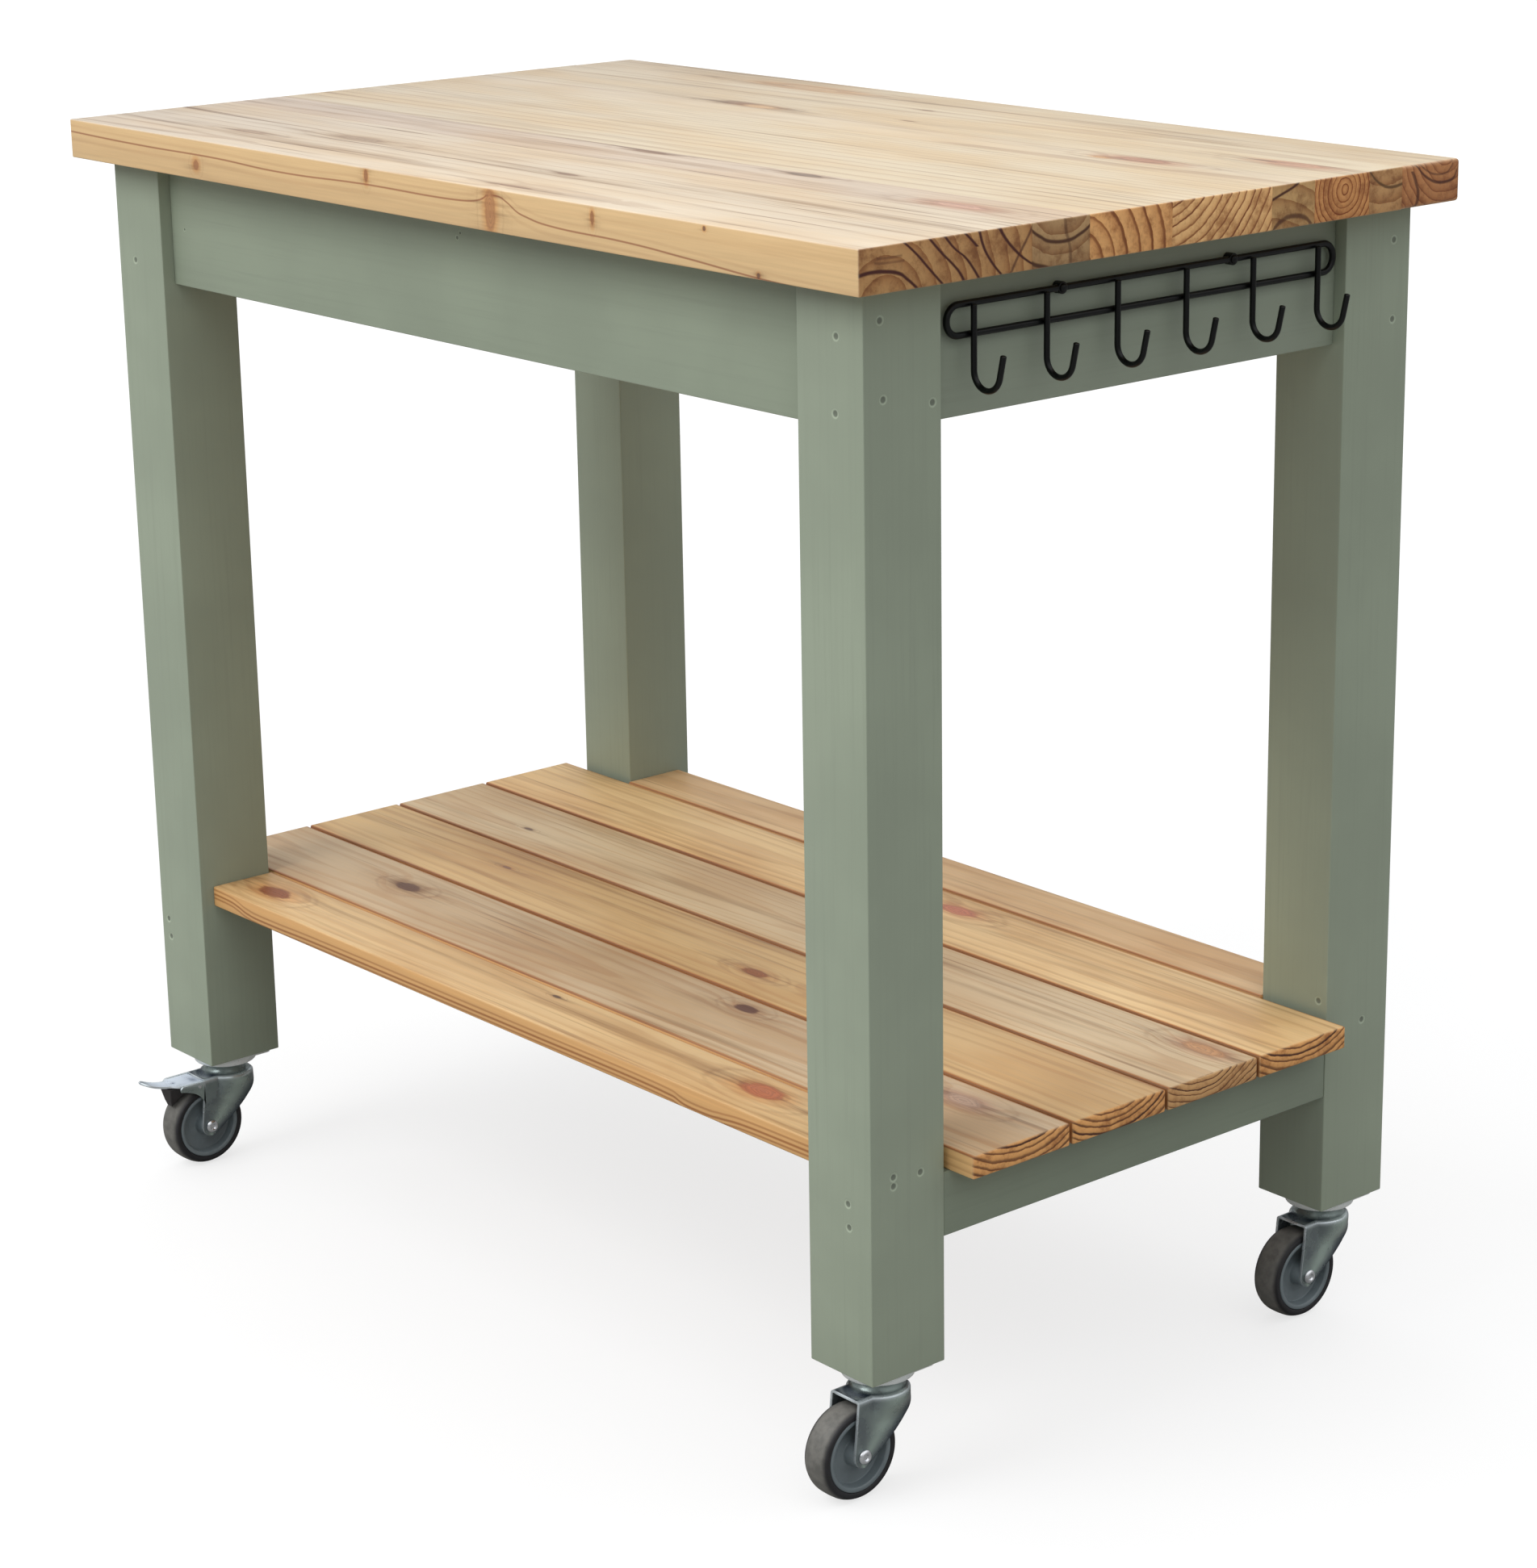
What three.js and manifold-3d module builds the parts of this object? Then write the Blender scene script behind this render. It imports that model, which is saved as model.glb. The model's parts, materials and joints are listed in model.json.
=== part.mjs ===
// Kitchen island trolley: a glued pine worktop and a slatted shelf on a painted timber frame,
// a wire hook rack on one end and four swivel castors, two of them braked.
// Millimetres, +Z up. The origin is on the floor under the middle of the worktop.
// +X runs along the long side to the end with the hook rack, -Y is the front long side.
import * as THREE from 'three';
import { mergeVertices } from 'three/addons/utils/BufferGeometryUtils.js';
import Module from 'manifold-3d';

const wasm = await Module();
wasm.setup();

// ---------- driving sizes ----------
// timber
const WORKTOP_LENGTH = 1000;
const WORKTOP_BOARD_WIDTHS = [157, 55, 81, 102, 45, 59, 36, 65];   // front to back
const WORKTOP_THICKNESS = 32;
const OVERHANG_END = 25;
const OVERHANG_SIDE = 25;
const FRAME_HEIGHT = 799;             // leg length
const LEG_LENGTHWAYS = 68;
const LEG_SIDEWAYS = 71;
const APRON_DEPTH = 101;
const APRON_THICKNESS = 20;
const APRON_SET_BACK = 11;
const RAIL_DEPTH = 50;
const RAIL_THICKNESS = 20;
const RAIL_SET_BACK = 0.6;
const RAIL_UNDERSIDE = 98;            // above the leg ends
const SHELF_THICKNESS = 18;
const SHELF_BOARD_WIDTH = 97;
const SHELF_BOARDS = 4;
const SHELF_GAP = 3;
const SHELF_OVERHANG = 25;            // past the legs' outer faces
const SHELF_EDGE_INSET = 12.4;        // narrow board behind the legs' outer faces
const GLUE_LINE = 0.1;
const SEAT_GAP = 0.1;
const CUT_PAST = 1;                   // a cut runs past the face by this
const JOIN_DEPTH = 0.5;               // two bodies of one piece run into each other by this

// hook rack
const RACK_END_GAP = 6.9;             // loop to leg, were the rack centred
const RACK_DEPTH = 21.5;              // between the wire's centre lines
const RACK_BELOW_TOP = 22.5;          // top wire under the worktop
const RACK_OFF_CENTRE = 1;
const RACK_STAND_OFF = 2.2;
const LOOP_WIRE = 5;
const HOOK_WIRE = 4.5;
const HOOKS = 6;
const HOOK_INSET = 21.25;             // end hook from the loop's end, centre lines
const HOOK_UPRIGHT = 45.8;
const HOOK_BEND = 13;
const HOOK_BEND_ANGLE = 167;          // degrees, from hanging down to leaning out
const HOOK_TIP = 17;
const SCREW_SPACING = 172;
const SCREW_SHANK = 3.5;
const SCREW_IN_TIMBER = 12;
const PILOT_SPARE = 1;
const SCREW_HEAD = 6.6;
const SCREW_HEAD_HEIGHT = 2.2;
const LUG = 9;

// castors
const CASTOR_HEIGHT = 100;
const WHEEL_DIAMETER = 73;
const TYRE_WIDTH = 25;
const TYRE_DEPTH = 7;
const TYRE_SHOULDER = 4.5;
const TRAIL = 28;
const PLATE_SIZE = 60;
const PLATE_THICKNESS = 3;
const RACE_RADIUS = 28;
const RACE_DEPTH = 6.7;
const RACE_CHAMFER = 2;
const KING_PIN = 10;
const KING_PIN_HEAD = 17;
const KING_PIN_HEAD_HEIGHT = 2.5;
const CROWN_RADIUS = 24;
const CROWN_HEIGHT = 10.5;
const CROWN_FLANGE = 3;
const CROWN_CHAMFER = 2;
const FORK_SHEET = 2;
const FORK_CLEARANCE = 1.3;           // tyre to cheek
const CHEEK_TOE = 9;                  // rounding below the axle
const CHEEK_TOE_END = 305;            // degrees, where the rounding meets the back edge
const CHEEK_TOE_PULL = 34;            // handles of the back edge's curve
const CHEEK_HEEL_PULL = 19;
const CHEEK_FRONT = 32.5;             // front edge before the swivel axis
const CHEEK_BACK = 18.5;              // at the crown
const CHEEK_BELLY = 5.5;              // how far the back edge swells past that
const AXLE = 6;
const AXLE_HEAD = 11.6;
const AXLE_HEAD_HEIGHT = 3.2;
const HUB_BOSS = 18;
const HUB_RIM = 4.5;
const HUB_WEB = 7;
const HUB_DRAFT = 1.2;
const HUB_IN_TYRE = 0.4;
const RUNNING_GAP = 0.3;
const FIXED_GAP = 0.15;

// brake
const PEDAL_SHEET = 1.6;
const PEDAL_REACH = 89;               // tip before the swivel axis
const PEDAL_TIP_RISE = 9;
const PEDAL_TIP_WIDTH = 17;
const PEDAL_SIDE_GAP = 0.7;
const PEDAL_ABOVE_CROWN = 0.64;       // over the crown's underside
const PEDAL_BACK_GAP = 1;
const PEDAL_SHOULDER = 4;             // narrowing starts this far inside the ears' ends
const PEDAL_SHOULDER_TURN = 3;        // and turns this far outside them
const EAR_REACH = 57;
const EAR_TIP_DEPTH = 3.8;
const EAR_DEPTH = 11;
const EAR_ROOT_DEPTH = 22;
const BRAKE_PIVOT_REACH = 38;
const BRAKE_PIN = 3;
const BRAKE_BARREL_WALL = 1.1;
const BRAKE_PIN_PROUD = 0.6;
const PAD_WIDTH = 20;
const PAD_LIFT = 3.2;                 // pad off the tyre with the brake released
const PAD_FROM_BARREL = 7;
const PAD_LENGTH = 17;
const PAD_FACE_LENGTH = 12.5;
const PAD_NOSE_DROP = 13;
const PAD_NOSE_SLOPE = 2.5;

const WHEEL_ROUND = 32;               // sides of a full circle
const ROUND = 24;
const SMALL_ROUND = 12;
const WIRE_SIDES = 8;
const LOOP_TURN_STEPS = 6;
const HOOK_BEND_STEPS = 8;
const TYRE_SHOULDER_STEPS = 2;
const OUTLINE_STEPS = 6;
const PAD_FACE_STEPS = 4;

// ---------- sizes that follow ----------
const sum = (list) => list.reduce((a, b) => a + b, 0);
const worktopWidth = sum(WORKTOP_BOARD_WIDTHS);
const legTop = CASTOR_HEIGHT + FRAME_HEIGHT;
const worktopUnderside = legTop + SEAT_GAP;
const legOuterX = WORKTOP_LENGTH / 2 - OVERHANG_END;
const legOuterY = worktopWidth / 2 - OVERHANG_SIDE;
const legInnerX = legOuterX - LEG_LENGTHWAYS;
const legInnerY = legOuterY - LEG_SIDEWAYS;
const legCentreX = legOuterX - LEG_LENGTHWAYS / 2;
const legCentreY = legOuterY - LEG_SIDEWAYS / 2;
const apronUnderside = legTop - APRON_DEPTH;
const apronFaceX = legOuterX - APRON_SET_BACK;
const apronFaceY = legOuterY - APRON_SET_BACK;
const railUnderside = CASTOR_HEIGHT + RAIL_UNDERSIDE;
const railTop = railUnderside + RAIL_DEPTH;
const railFaceX = legOuterX - RAIL_SET_BACK;
const shelfUnderside = railTop + SEAT_GAP;
const shelfTop = shelfUnderside + SHELF_THICKNESS;
const shelfEndX = legOuterX + SHELF_OVERHANG;
const wideShelfWidth = SHELF_BOARDS * SHELF_BOARD_WIDTH + (SHELF_BOARDS - 1) * SHELF_GAP;

const loopRadius = LOOP_WIRE / 2;
const rackLength = 2 * (legInnerY - RACK_END_GAP - loopRadius);
const hookPitch = (rackLength - 2 * HOOK_INSET) / (HOOKS - 1);
const loopX = apronFaceX + RACK_STAND_OFF + loopRadius;
const loopTopZ = worktopUnderside - RACK_BELOW_TOP;
const loopBottomZ = loopTopZ - RACK_DEPTH;
const lugFrontX = loopX + loopRadius;
const hookX = loopX + loopRadius + SEAT_GAP + HOOK_WIRE / 2;

const wheelRadius = WHEEL_DIAMETER / 2;
const hubRadius = wheelRadius - TYRE_DEPTH;
const axleDrop = CASTOR_HEIGHT - wheelRadius;          // below the leg end
const cheekInner = TYRE_WIDTH / 2 + FORK_CLEARANCE;
const cheekOuter = cheekInner + FORK_SHEET;
const raceBottom = -PLATE_THICKNESS - RACE_DEPTH;
const crownTop = raceBottom - RUNNING_GAP;
const crownBottom = crownTop - CROWN_HEIGHT;
const pedalHalfWidth = cheekInner - PEDAL_SIDE_GAP;
const barrelRadius = BRAKE_PIN / 2 + RUNNING_GAP + BRAKE_BARREL_WALL;
const brakePivotDrop = -crownBottom + barrelRadius;
const pedalTop = crownBottom + PEDAL_ABOVE_CROWN;

// ---------- finishes ----------
function finish(color, roughness, metalness = 0) {
  return new THREE.MeshStandardMaterial({ color, roughness, metalness });
}

const WORKTOP_PINE = finish(0xe0c7a0, 0.5);
const SHELF_PINE = finish(0xcfa873, 0.6);
const SAGE_PAINT = finish(0x8a957f, 0.55);
const BLACK_WIRE = finish(0x14171a, 0.45, 0.3);
const ZINC = finish(0x8f9aa3, 0.35, 0.9);
const BRIGHT_STEEL = finish(0xc9ccd0, 0.25, 1);
const GREY_RUBBER = finish(0x55524f, 0.8);
const GREY_NYLON = finish(0x66707a, 0.5);
const PAD_RUBBER = finish(0x3a3634, 0.75);

// ---------- making solids ----------
const island = new THREE.Group();
const X = new THREE.Vector3(1, 0, 0);
const Y = new THREE.Vector3(0, 1, 0);
const Z = new THREE.Vector3(0, 0, 1);
const degrees = THREE.MathUtils.degToRad;

// A closed geometry with its doubled vertices merged and its empty triangles left out.
function tidied(geometry) {
  const bare = geometry.index ? geometry.clone() : mergeVertices(geometry);
  bare.deleteAttribute('normal');
  bare.deleteAttribute('uv');
  const merged = mergeVertices(bare, 1e-4);
  const corners = merged.index.array;
  const kept = [];
  for (let i = 0; i < corners.length; i += 3) {
    const [a, b, c] = corners.slice(i, i + 3);
    if (a !== b && b !== c && c !== a) kept.push(a, b, c);
  }
  merged.setIndex(kept);
  return merged;
}

function solid(geometry) {
  const merged = tidied(geometry);
  return new wasm.Manifold(new wasm.Mesh({
    numProp: 3,
    vertProperties: new Float32Array(merged.attributes.position.array),
    triVerts: new Uint32Array(merged.index.array),
  }));
}

function geometryOf(manifold) {
  const mesh = manifold.getMesh();
  const geometry = new THREE.BufferGeometry();
  geometry.setAttribute('position', new THREE.BufferAttribute(mesh.vertProperties, 3));
  geometry.setIndex(new THREE.BufferAttribute(mesh.triVerts, 1));
  return geometry;
}

function box(x, y, z) {
  const size = [x, y, z].map(([low, high]) => high - low);
  const centre = [x, y, z].map(([low, high]) => (high + low) / 2);
  return new THREE.BoxGeometry(...size).translate(...centre);
}

// Turns a profile of [radius, height] points, listed outwards, up and back in, round the Z axis.
function turned(profile, sides = ROUND) {
  const points = profile.map(([radius, height]) => new THREE.Vector2(radius, height));
  return new THREE.LatheGeometry(points, sides).rotateX(Math.PI / 2);
}

function rod(radius, low, high, sides = ROUND) {
  return turned([[0, low], [radius, low], [radius, high], [0, high]], sides);
}

const alongX = (geometry) => geometry.rotateY(Math.PI / 2);

// A flat outline in Y and Z, as thick as the span in X.
function sheetAcrossX(outline, [low, high]) {
  const shape = new THREE.Shape(outline.map(([y, z]) => new THREE.Vector2(y, z)));
  const geometry = new THREE.ExtrudeGeometry(shape, { depth: high - low, bevelEnabled: false });
  return geometry.applyMatrix4(new THREE.Matrix4().makeBasis(Y, Z, X)).translate(low, 0, 0);
}

// Points of an arc in a plane, angles in degrees.
function arc([cy, cz], radius, from, to, steps) {
  return Array.from({ length: steps + 1 }, (_, i) => {
    const angle = degrees(from + (to - from) * i / steps);
    return [cy + radius * Math.cos(angle), cz + radius * Math.sin(angle)];
  });
}

class Route extends THREE.Curve {
  constructor(points) {
    super();
    this.points = points;
  }

  getPoint(t, target = new THREE.Vector3()) {
    const place = t * (this.points.length - 1);
    const i = Math.min(Math.floor(place), this.points.length - 2);
    return target.lerpVectors(this.points[i], this.points[i + 1], place - i);
  }

  getPointAt(t, target) {
    return this.getPoint(t, target);
  }

  getTangentAt(t, target) {
    return this.getTangent(t, target);
  }

  // At a corner the tangent halves the angle, so that the wire keeps its thickness.
  getTangent(t, target = new THREE.Vector3()) {
    const last = this.points.length - 1;
    const i = Math.round(t * last);
    const after = this.points[Math.min(i + 1, last)];
    const before = this.points[Math.max(i - 1, 0)];
    return target.subVectors(after, before).normalize();
  }
}

function wire(points, diameter) {
  const section = new THREE.Shape(arc([0, 0], diameter / 2, 0, 360 - 360 / WIRE_SIDES, WIRE_SIDES - 1)
    .map(([u, v]) => new THREE.Vector2(u, v)));
  return new THREE.ExtrudeGeometry(section, {
    steps: points.length - 1, extrudePath: new Route(points), bevelEnabled: false,
  });
}

function add(name, geometry, material, parent = island) {
  const mesh = new THREE.Mesh(geometry, material);
  mesh.name = name;
  parent.add(mesh);
  return mesh;
}

const ENDS = [['left', -1], ['right', 1]];
const SIDES = [['front', -1], ['back', 1]];
const span = (side, inner, outer) => side < 0 ? [-outer, -inner] : [inner, outer];

// ---------- worktop ----------
let boardFront = -worktopWidth / 2;
WORKTOP_BOARD_WIDTHS.forEach((width, i) => {
  const last = i === WORKTOP_BOARD_WIDTHS.length - 1;
  const boardBack = boardFront + width - (last ? 0 : GLUE_LINE);
  add(`worktop_board_${i + 1}`, box(
    [-WORKTOP_LENGTH / 2, WORKTOP_LENGTH / 2],
    [boardFront, boardBack],
    [worktopUnderside, worktopUnderside + WORKTOP_THICKNESS],
  ), WORKTOP_PINE);
  boardFront += width;
});

// ---------- painted frame ----------
for (const [side, sy] of SIDES) {
  for (const [end, sx] of ENDS) {
    add(`leg_${side}_${end}`, box(
      span(sx, legInnerX, legOuterX),
      span(sy, legInnerY, legOuterY),
      [CASTOR_HEIGHT, legTop],
    ), SAGE_PAINT);
  }
  add(`apron_${side}`, box(
    [-legInnerX + GLUE_LINE, legInnerX - GLUE_LINE],
    span(sy, apronFaceY - APRON_THICKNESS, apronFaceY),
    [apronUnderside, legTop],
  ), SAGE_PAINT);
}

const screwPlaces = [-1, 1].map((s) => RACK_OFF_CENTRE + s * SCREW_SPACING / 2);
for (const [end, sx] of ENDS) {
  const between = [-legInnerY + GLUE_LINE, legInnerY - GLUE_LINE];
  const apronX = span(sx, apronFaceX - APRON_THICKNESS, apronFaceX);
  const railX = span(sx, railFaceX - RAIL_THICKNESS, railFaceX);
  let apron = solid(box(apronX, between, [apronUnderside, legTop]));
  if (end === 'right') {
    for (const y of screwPlaces) {
      const depth = SCREW_IN_TIMBER + PILOT_SPARE;
      const hole = alongX(rod(SCREW_SHANK / 2 + FIXED_GAP, -depth, CUT_PAST, SMALL_ROUND));
      apron = apron.subtract(solid(hole.translate(apronFaceX, y, loopTopZ)));
    }
  }
  add(`apron_${end}`, geometryOf(apron), SAGE_PAINT);
  add(`lower_rail_${end}`, box(railX, between, [railUnderside, railTop]), SAGE_PAINT);
}

// ---------- shelf ----------
const shelfSpan = [shelfUnderside, shelfTop];
const narrowInner = wideShelfWidth / 2 + SHELF_GAP;
const narrowOuter = legOuterY - SHELF_EDGE_INSET;
const narrowX = [-legInnerX + GLUE_LINE, legInnerX - GLUE_LINE];
add('shelf_board_1', box(narrowX, span(-1, narrowInner, narrowOuter), shelfSpan), SHELF_PINE);
for (let i = 0; i < SHELF_BOARDS; i++) {
  const front = -wideShelfWidth / 2 + i * (SHELF_BOARD_WIDTH + SHELF_GAP);
  const wide = box([-shelfEndX, shelfEndX], [front, front + SHELF_BOARD_WIDTH], shelfSpan);
  add(`shelf_board_${i + 2}`, wide, SHELF_PINE);
}
const backNarrow = box(narrowX, span(1, narrowInner, narrowOuter), shelfSpan);
add(`shelf_board_${SHELF_BOARDS + 2}`, backNarrow, SHELF_PINE);

// ---------- hook rack ----------
// The loop is two U-shaped halves joined half way along, with a lug for each screw.
function loopHalf(side) {
  const turnRadius = RACK_DEPTH / 2;
  const straight = rackLength / 2 - turnRadius;
  const route = [
    [-JOIN_DEPTH, loopTopZ],
    ...arc([straight, loopTopZ - turnRadius], turnRadius, 90, -90, LOOP_TURN_STEPS),
    [-JOIN_DEPTH, loopBottomZ],
  ];
  const points = route.map(([y, z]) => new THREE.Vector3(loopX, RACK_OFF_CENTRE + side * y, z));
  return solid(wire(side > 0 ? points : points.reverse(), LOOP_WIRE));
}

let loop = loopHalf(1).add(loopHalf(-1));
for (const y of screwPlaces) {
  const seat = apronFaceX + SEAT_GAP;
  const atScrew = (radius, low, high) => solid(
    alongX(rod(radius, low, high, SMALL_ROUND)).translate(0, y, loopTopZ));
  loop = loop
    .add(atScrew(LUG / 2, seat, lugFrontX))
    .subtract(atScrew(SCREW_SHANK / 2 + FIXED_GAP, seat - CUT_PAST, lugFrontX + CUT_PAST));
}
add('hook_rail_loop', geometryOf(loop), BLACK_WIRE);

for (let i = 0; i < HOOKS; i++) {
  const y = RACK_OFF_CENTRE + (i - (HOOKS - 1) / 2) * hookPitch;
  const bendTop = loopTopZ - HOOK_UPRIGHT;
  const bend = arc([hookX + HOOK_BEND, bendTop], HOOK_BEND, 180, 180 + HOOK_BEND_ANGLE, HOOK_BEND_STEPS);
  const [endX, endZ] = bend[bend.length - 1];
  const lean = degrees(180 + HOOK_BEND_ANGLE);
  const tip = [endX - HOOK_TIP * Math.sin(lean), endZ + HOOK_TIP * Math.cos(lean)];
  const route = [[hookX, loopTopZ], ...bend, tip].map(([x, z]) => new THREE.Vector3(x, y, z));
  add(`rail_hook_${i + 1}`, tidied(wire(route, HOOK_WIRE)), BLACK_WIRE);
}

screwPlaces.forEach((y, i) => {
  const seat = lugFrontX + SEAT_GAP - apronFaceX;
  const profile = [
    [0, -SCREW_IN_TIMBER],
    [SCREW_SHANK / 2, -SCREW_IN_TIMBER + SCREW_SHANK],
    [SCREW_SHANK / 2, seat],
    [SCREW_HEAD / 2, seat],
    [SCREW_HEAD / 2, seat + SCREW_HEAD_HEIGHT / 2],
    [SCREW_HEAD / 4, seat + SCREW_HEAD_HEIGHT],
    [0, seat + SCREW_HEAD_HEIGHT],
  ];
  const screw = alongX(turned(profile, SMALL_ROUND)).translate(apronFaceX, y, loopTopZ);
  add(`rail_screw_${i + 1}`, tidied(screw), BLACK_WIRE);
});

// ---------- castors, each drawn round its swivel axis, zero at the leg end, wheel trailing to -Y ----------
function mountingPlate() {
  const half = PLATE_SIZE / 2;
  const pinBottom = crownBottom - RUNNING_GAP - KING_PIN_HEAD_HEIGHT;
  const race = turned([
    [0, pinBottom],
    [KING_PIN_HEAD / 2, pinBottom],
    [KING_PIN_HEAD / 2, pinBottom + KING_PIN_HEAD_HEIGHT],
    [KING_PIN / 2, pinBottom + KING_PIN_HEAD_HEIGHT],
    [KING_PIN / 2, raceBottom],
    [RACE_RADIUS - RACE_CHAMFER, raceBottom],
    [RACE_RADIUS, raceBottom + RACE_CHAMFER],
    [RACE_RADIUS, -PLATE_THICKNESS + JOIN_DEPTH],
    [0, -PLATE_THICKNESS + JOIN_DEPTH],
  ]);
  return solid(box([-half, half], [-half, half], [-PLATE_THICKNESS, -SEAT_GAP])).add(solid(race));
}

// Points along a curve that starts and ends at the first and last of its handles.
function bent(...handles) {
  const points = handles.map(([y, z]) => new THREE.Vector2(y, z));
  const curve = points.length === 3
    ? new THREE.QuadraticBezierCurve(...points) : new THREE.CubicBezierCurve(...points);
  return curve.getPoints(OUTLINE_STEPS).map(({ x, y }) => [x, y]);
}

function cheekOutline(braked) {
  const axle = [-TRAIL, -axleDrop];
  const top = crownBottom + FORK_SHEET;
  const toe = arc(axle, CHEEK_TOE, 180, CHEEK_TOE_END, OUTLINE_STEPS);
  const toeEnd = toe[toe.length - 1];
  const lean = degrees(CHEEK_TOE_END + 90);
  const toeHandle = [
    toeEnd[0] + CHEEK_TOE_PULL * Math.cos(lean),
    toeEnd[1] + CHEEK_TOE_PULL * Math.sin(lean),
  ];
  const heelHandle = [CHEEK_BACK + CHEEK_BELLY, top - CHEEK_HEEL_PULL];
  const backEdge = bent(toeEnd, toeHandle, heelHandle, [CHEEK_BACK, top]).slice(1);
  const ear = [
    [-EAR_REACH, crownBottom + FORK_SHEET / 4],
    ...bent(
      [-EAR_REACH, crownBottom - EAR_TIP_DEPTH],
      [-CHEEK_FRONT, crownBottom - EAR_DEPTH],
      [-CHEEK_FRONT, crownBottom - EAR_ROOT_DEPTH],
    ),
  ];
  return [[-CHEEK_FRONT, top], ...(braked ? ear : []), ...toe, ...backEdge];
}

function fork(braked) {
  const hole = (y, z, radius) => solid(
    alongX(rod(radius, -cheekOuter - CUT_PAST, cheekOuter + CUT_PAST, SMALL_ROUND)).translate(0, y, z));
  const topSheet = [crownBottom, crownBottom + FORK_SHEET];
  const top = solid(box([-cheekOuter, cheekOuter], [-CHEEK_FRONT, 0], topSheet));
  const domeRadius = CROWN_RADIUS - CROWN_FLANGE;
  const bore = KING_PIN / 2 + RUNNING_GAP;
  const crown = solid(turned([
    [bore, crownBottom],
    [CROWN_RADIUS, crownBottom],
    [CROWN_RADIUS, crownBottom + FORK_SHEET],
    [domeRadius, crownBottom + FORK_SHEET],
    [domeRadius, crownTop - CROWN_CHAMFER],
    [domeRadius - CROWN_CHAMFER, crownTop],
    [bore, crownTop],
    [bore, crownBottom],
  ]));
  const kingPinHole = solid(rod(bore, crownBottom - CUT_PAST, crownTop + CUT_PAST));
  let body = top.add(crown).subtract(kingPinHole);
  for (const side of [-1, 1]) {
    body = body.add(solid(sheetAcrossX(cheekOutline(braked), span(side, cheekInner, cheekOuter))));
  }
  body = body.subtract(hole(-TRAIL, -axleDrop, AXLE / 2 + FIXED_GAP));
  if (braked) body = body.subtract(hole(-BRAKE_PIVOT_REACH, -brakePivotDrop, BRAKE_PIN / 2 + FIXED_GAP));
  return body;
}

function axleBolt() {
  const seat = cheekOuter + SEAT_GAP;
  const head = [
    [AXLE_HEAD / 2, seat],
    [AXLE_HEAD / 2, seat + AXLE_HEAD_HEIGHT / 2],
    [AXLE_HEAD / 3, seat + AXLE_HEAD_HEIGHT],
    [0, seat + AXLE_HEAD_HEIGHT],
  ];
  const mirrored = head.map(([radius, height]) => [radius, -height]).reverse();
  const profile = [...mirrored, [AXLE / 2, -seat], [AXLE / 2, seat], ...head];
  return tidied(alongX(turned(profile, SMALL_ROUND)).translate(0, -TRAIL, -axleDrop));
}

function hub() {
  const bore = AXLE / 2 + RUNNING_GAP;
  const bossHalf = cheekInner - RUNNING_GAP;
  const rimHalf = TYRE_WIDTH / 2 - HUB_IN_TYRE;
  const half = [
    [bore, bossHalf],
    [HUB_BOSS / 2, bossHalf],
    [HUB_BOSS / 2 + HUB_DRAFT, HUB_WEB / 2],
    [hubRadius - HUB_RIM, HUB_WEB / 2],
    [hubRadius - HUB_RIM + HUB_DRAFT, rimHalf],
    [hubRadius, rimHalf],
  ];
  const lower = half.map(([radius, height]) => [radius, -height]);
  const profile = [...lower, ...half.slice().reverse(), lower[0]];
  return tidied(alongX(turned(profile)).translate(0, -TRAIL, -axleDrop));
}

function tyre() {
  const bore = hubRadius + FIXED_GAP;
  const half = TYRE_WIDTH / 2;
  const shoulderCentre = [wheelRadius - TYRE_SHOULDER, half - TYRE_SHOULDER];
  const shoulder = arc(shoulderCentre, TYRE_SHOULDER, 0, 90, TYRE_SHOULDER_STEPS);
  const mirrored = shoulder.map(([radius, height]) => [radius, -height]).reverse();
  const profile = [[bore, -half], ...mirrored, ...shoulder, [bore, half], [bore, -half]];
  return tidied(alongX(turned(profile, WHEEL_ROUND)).translate(0, -TRAIL, -axleDrop));
}

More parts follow.
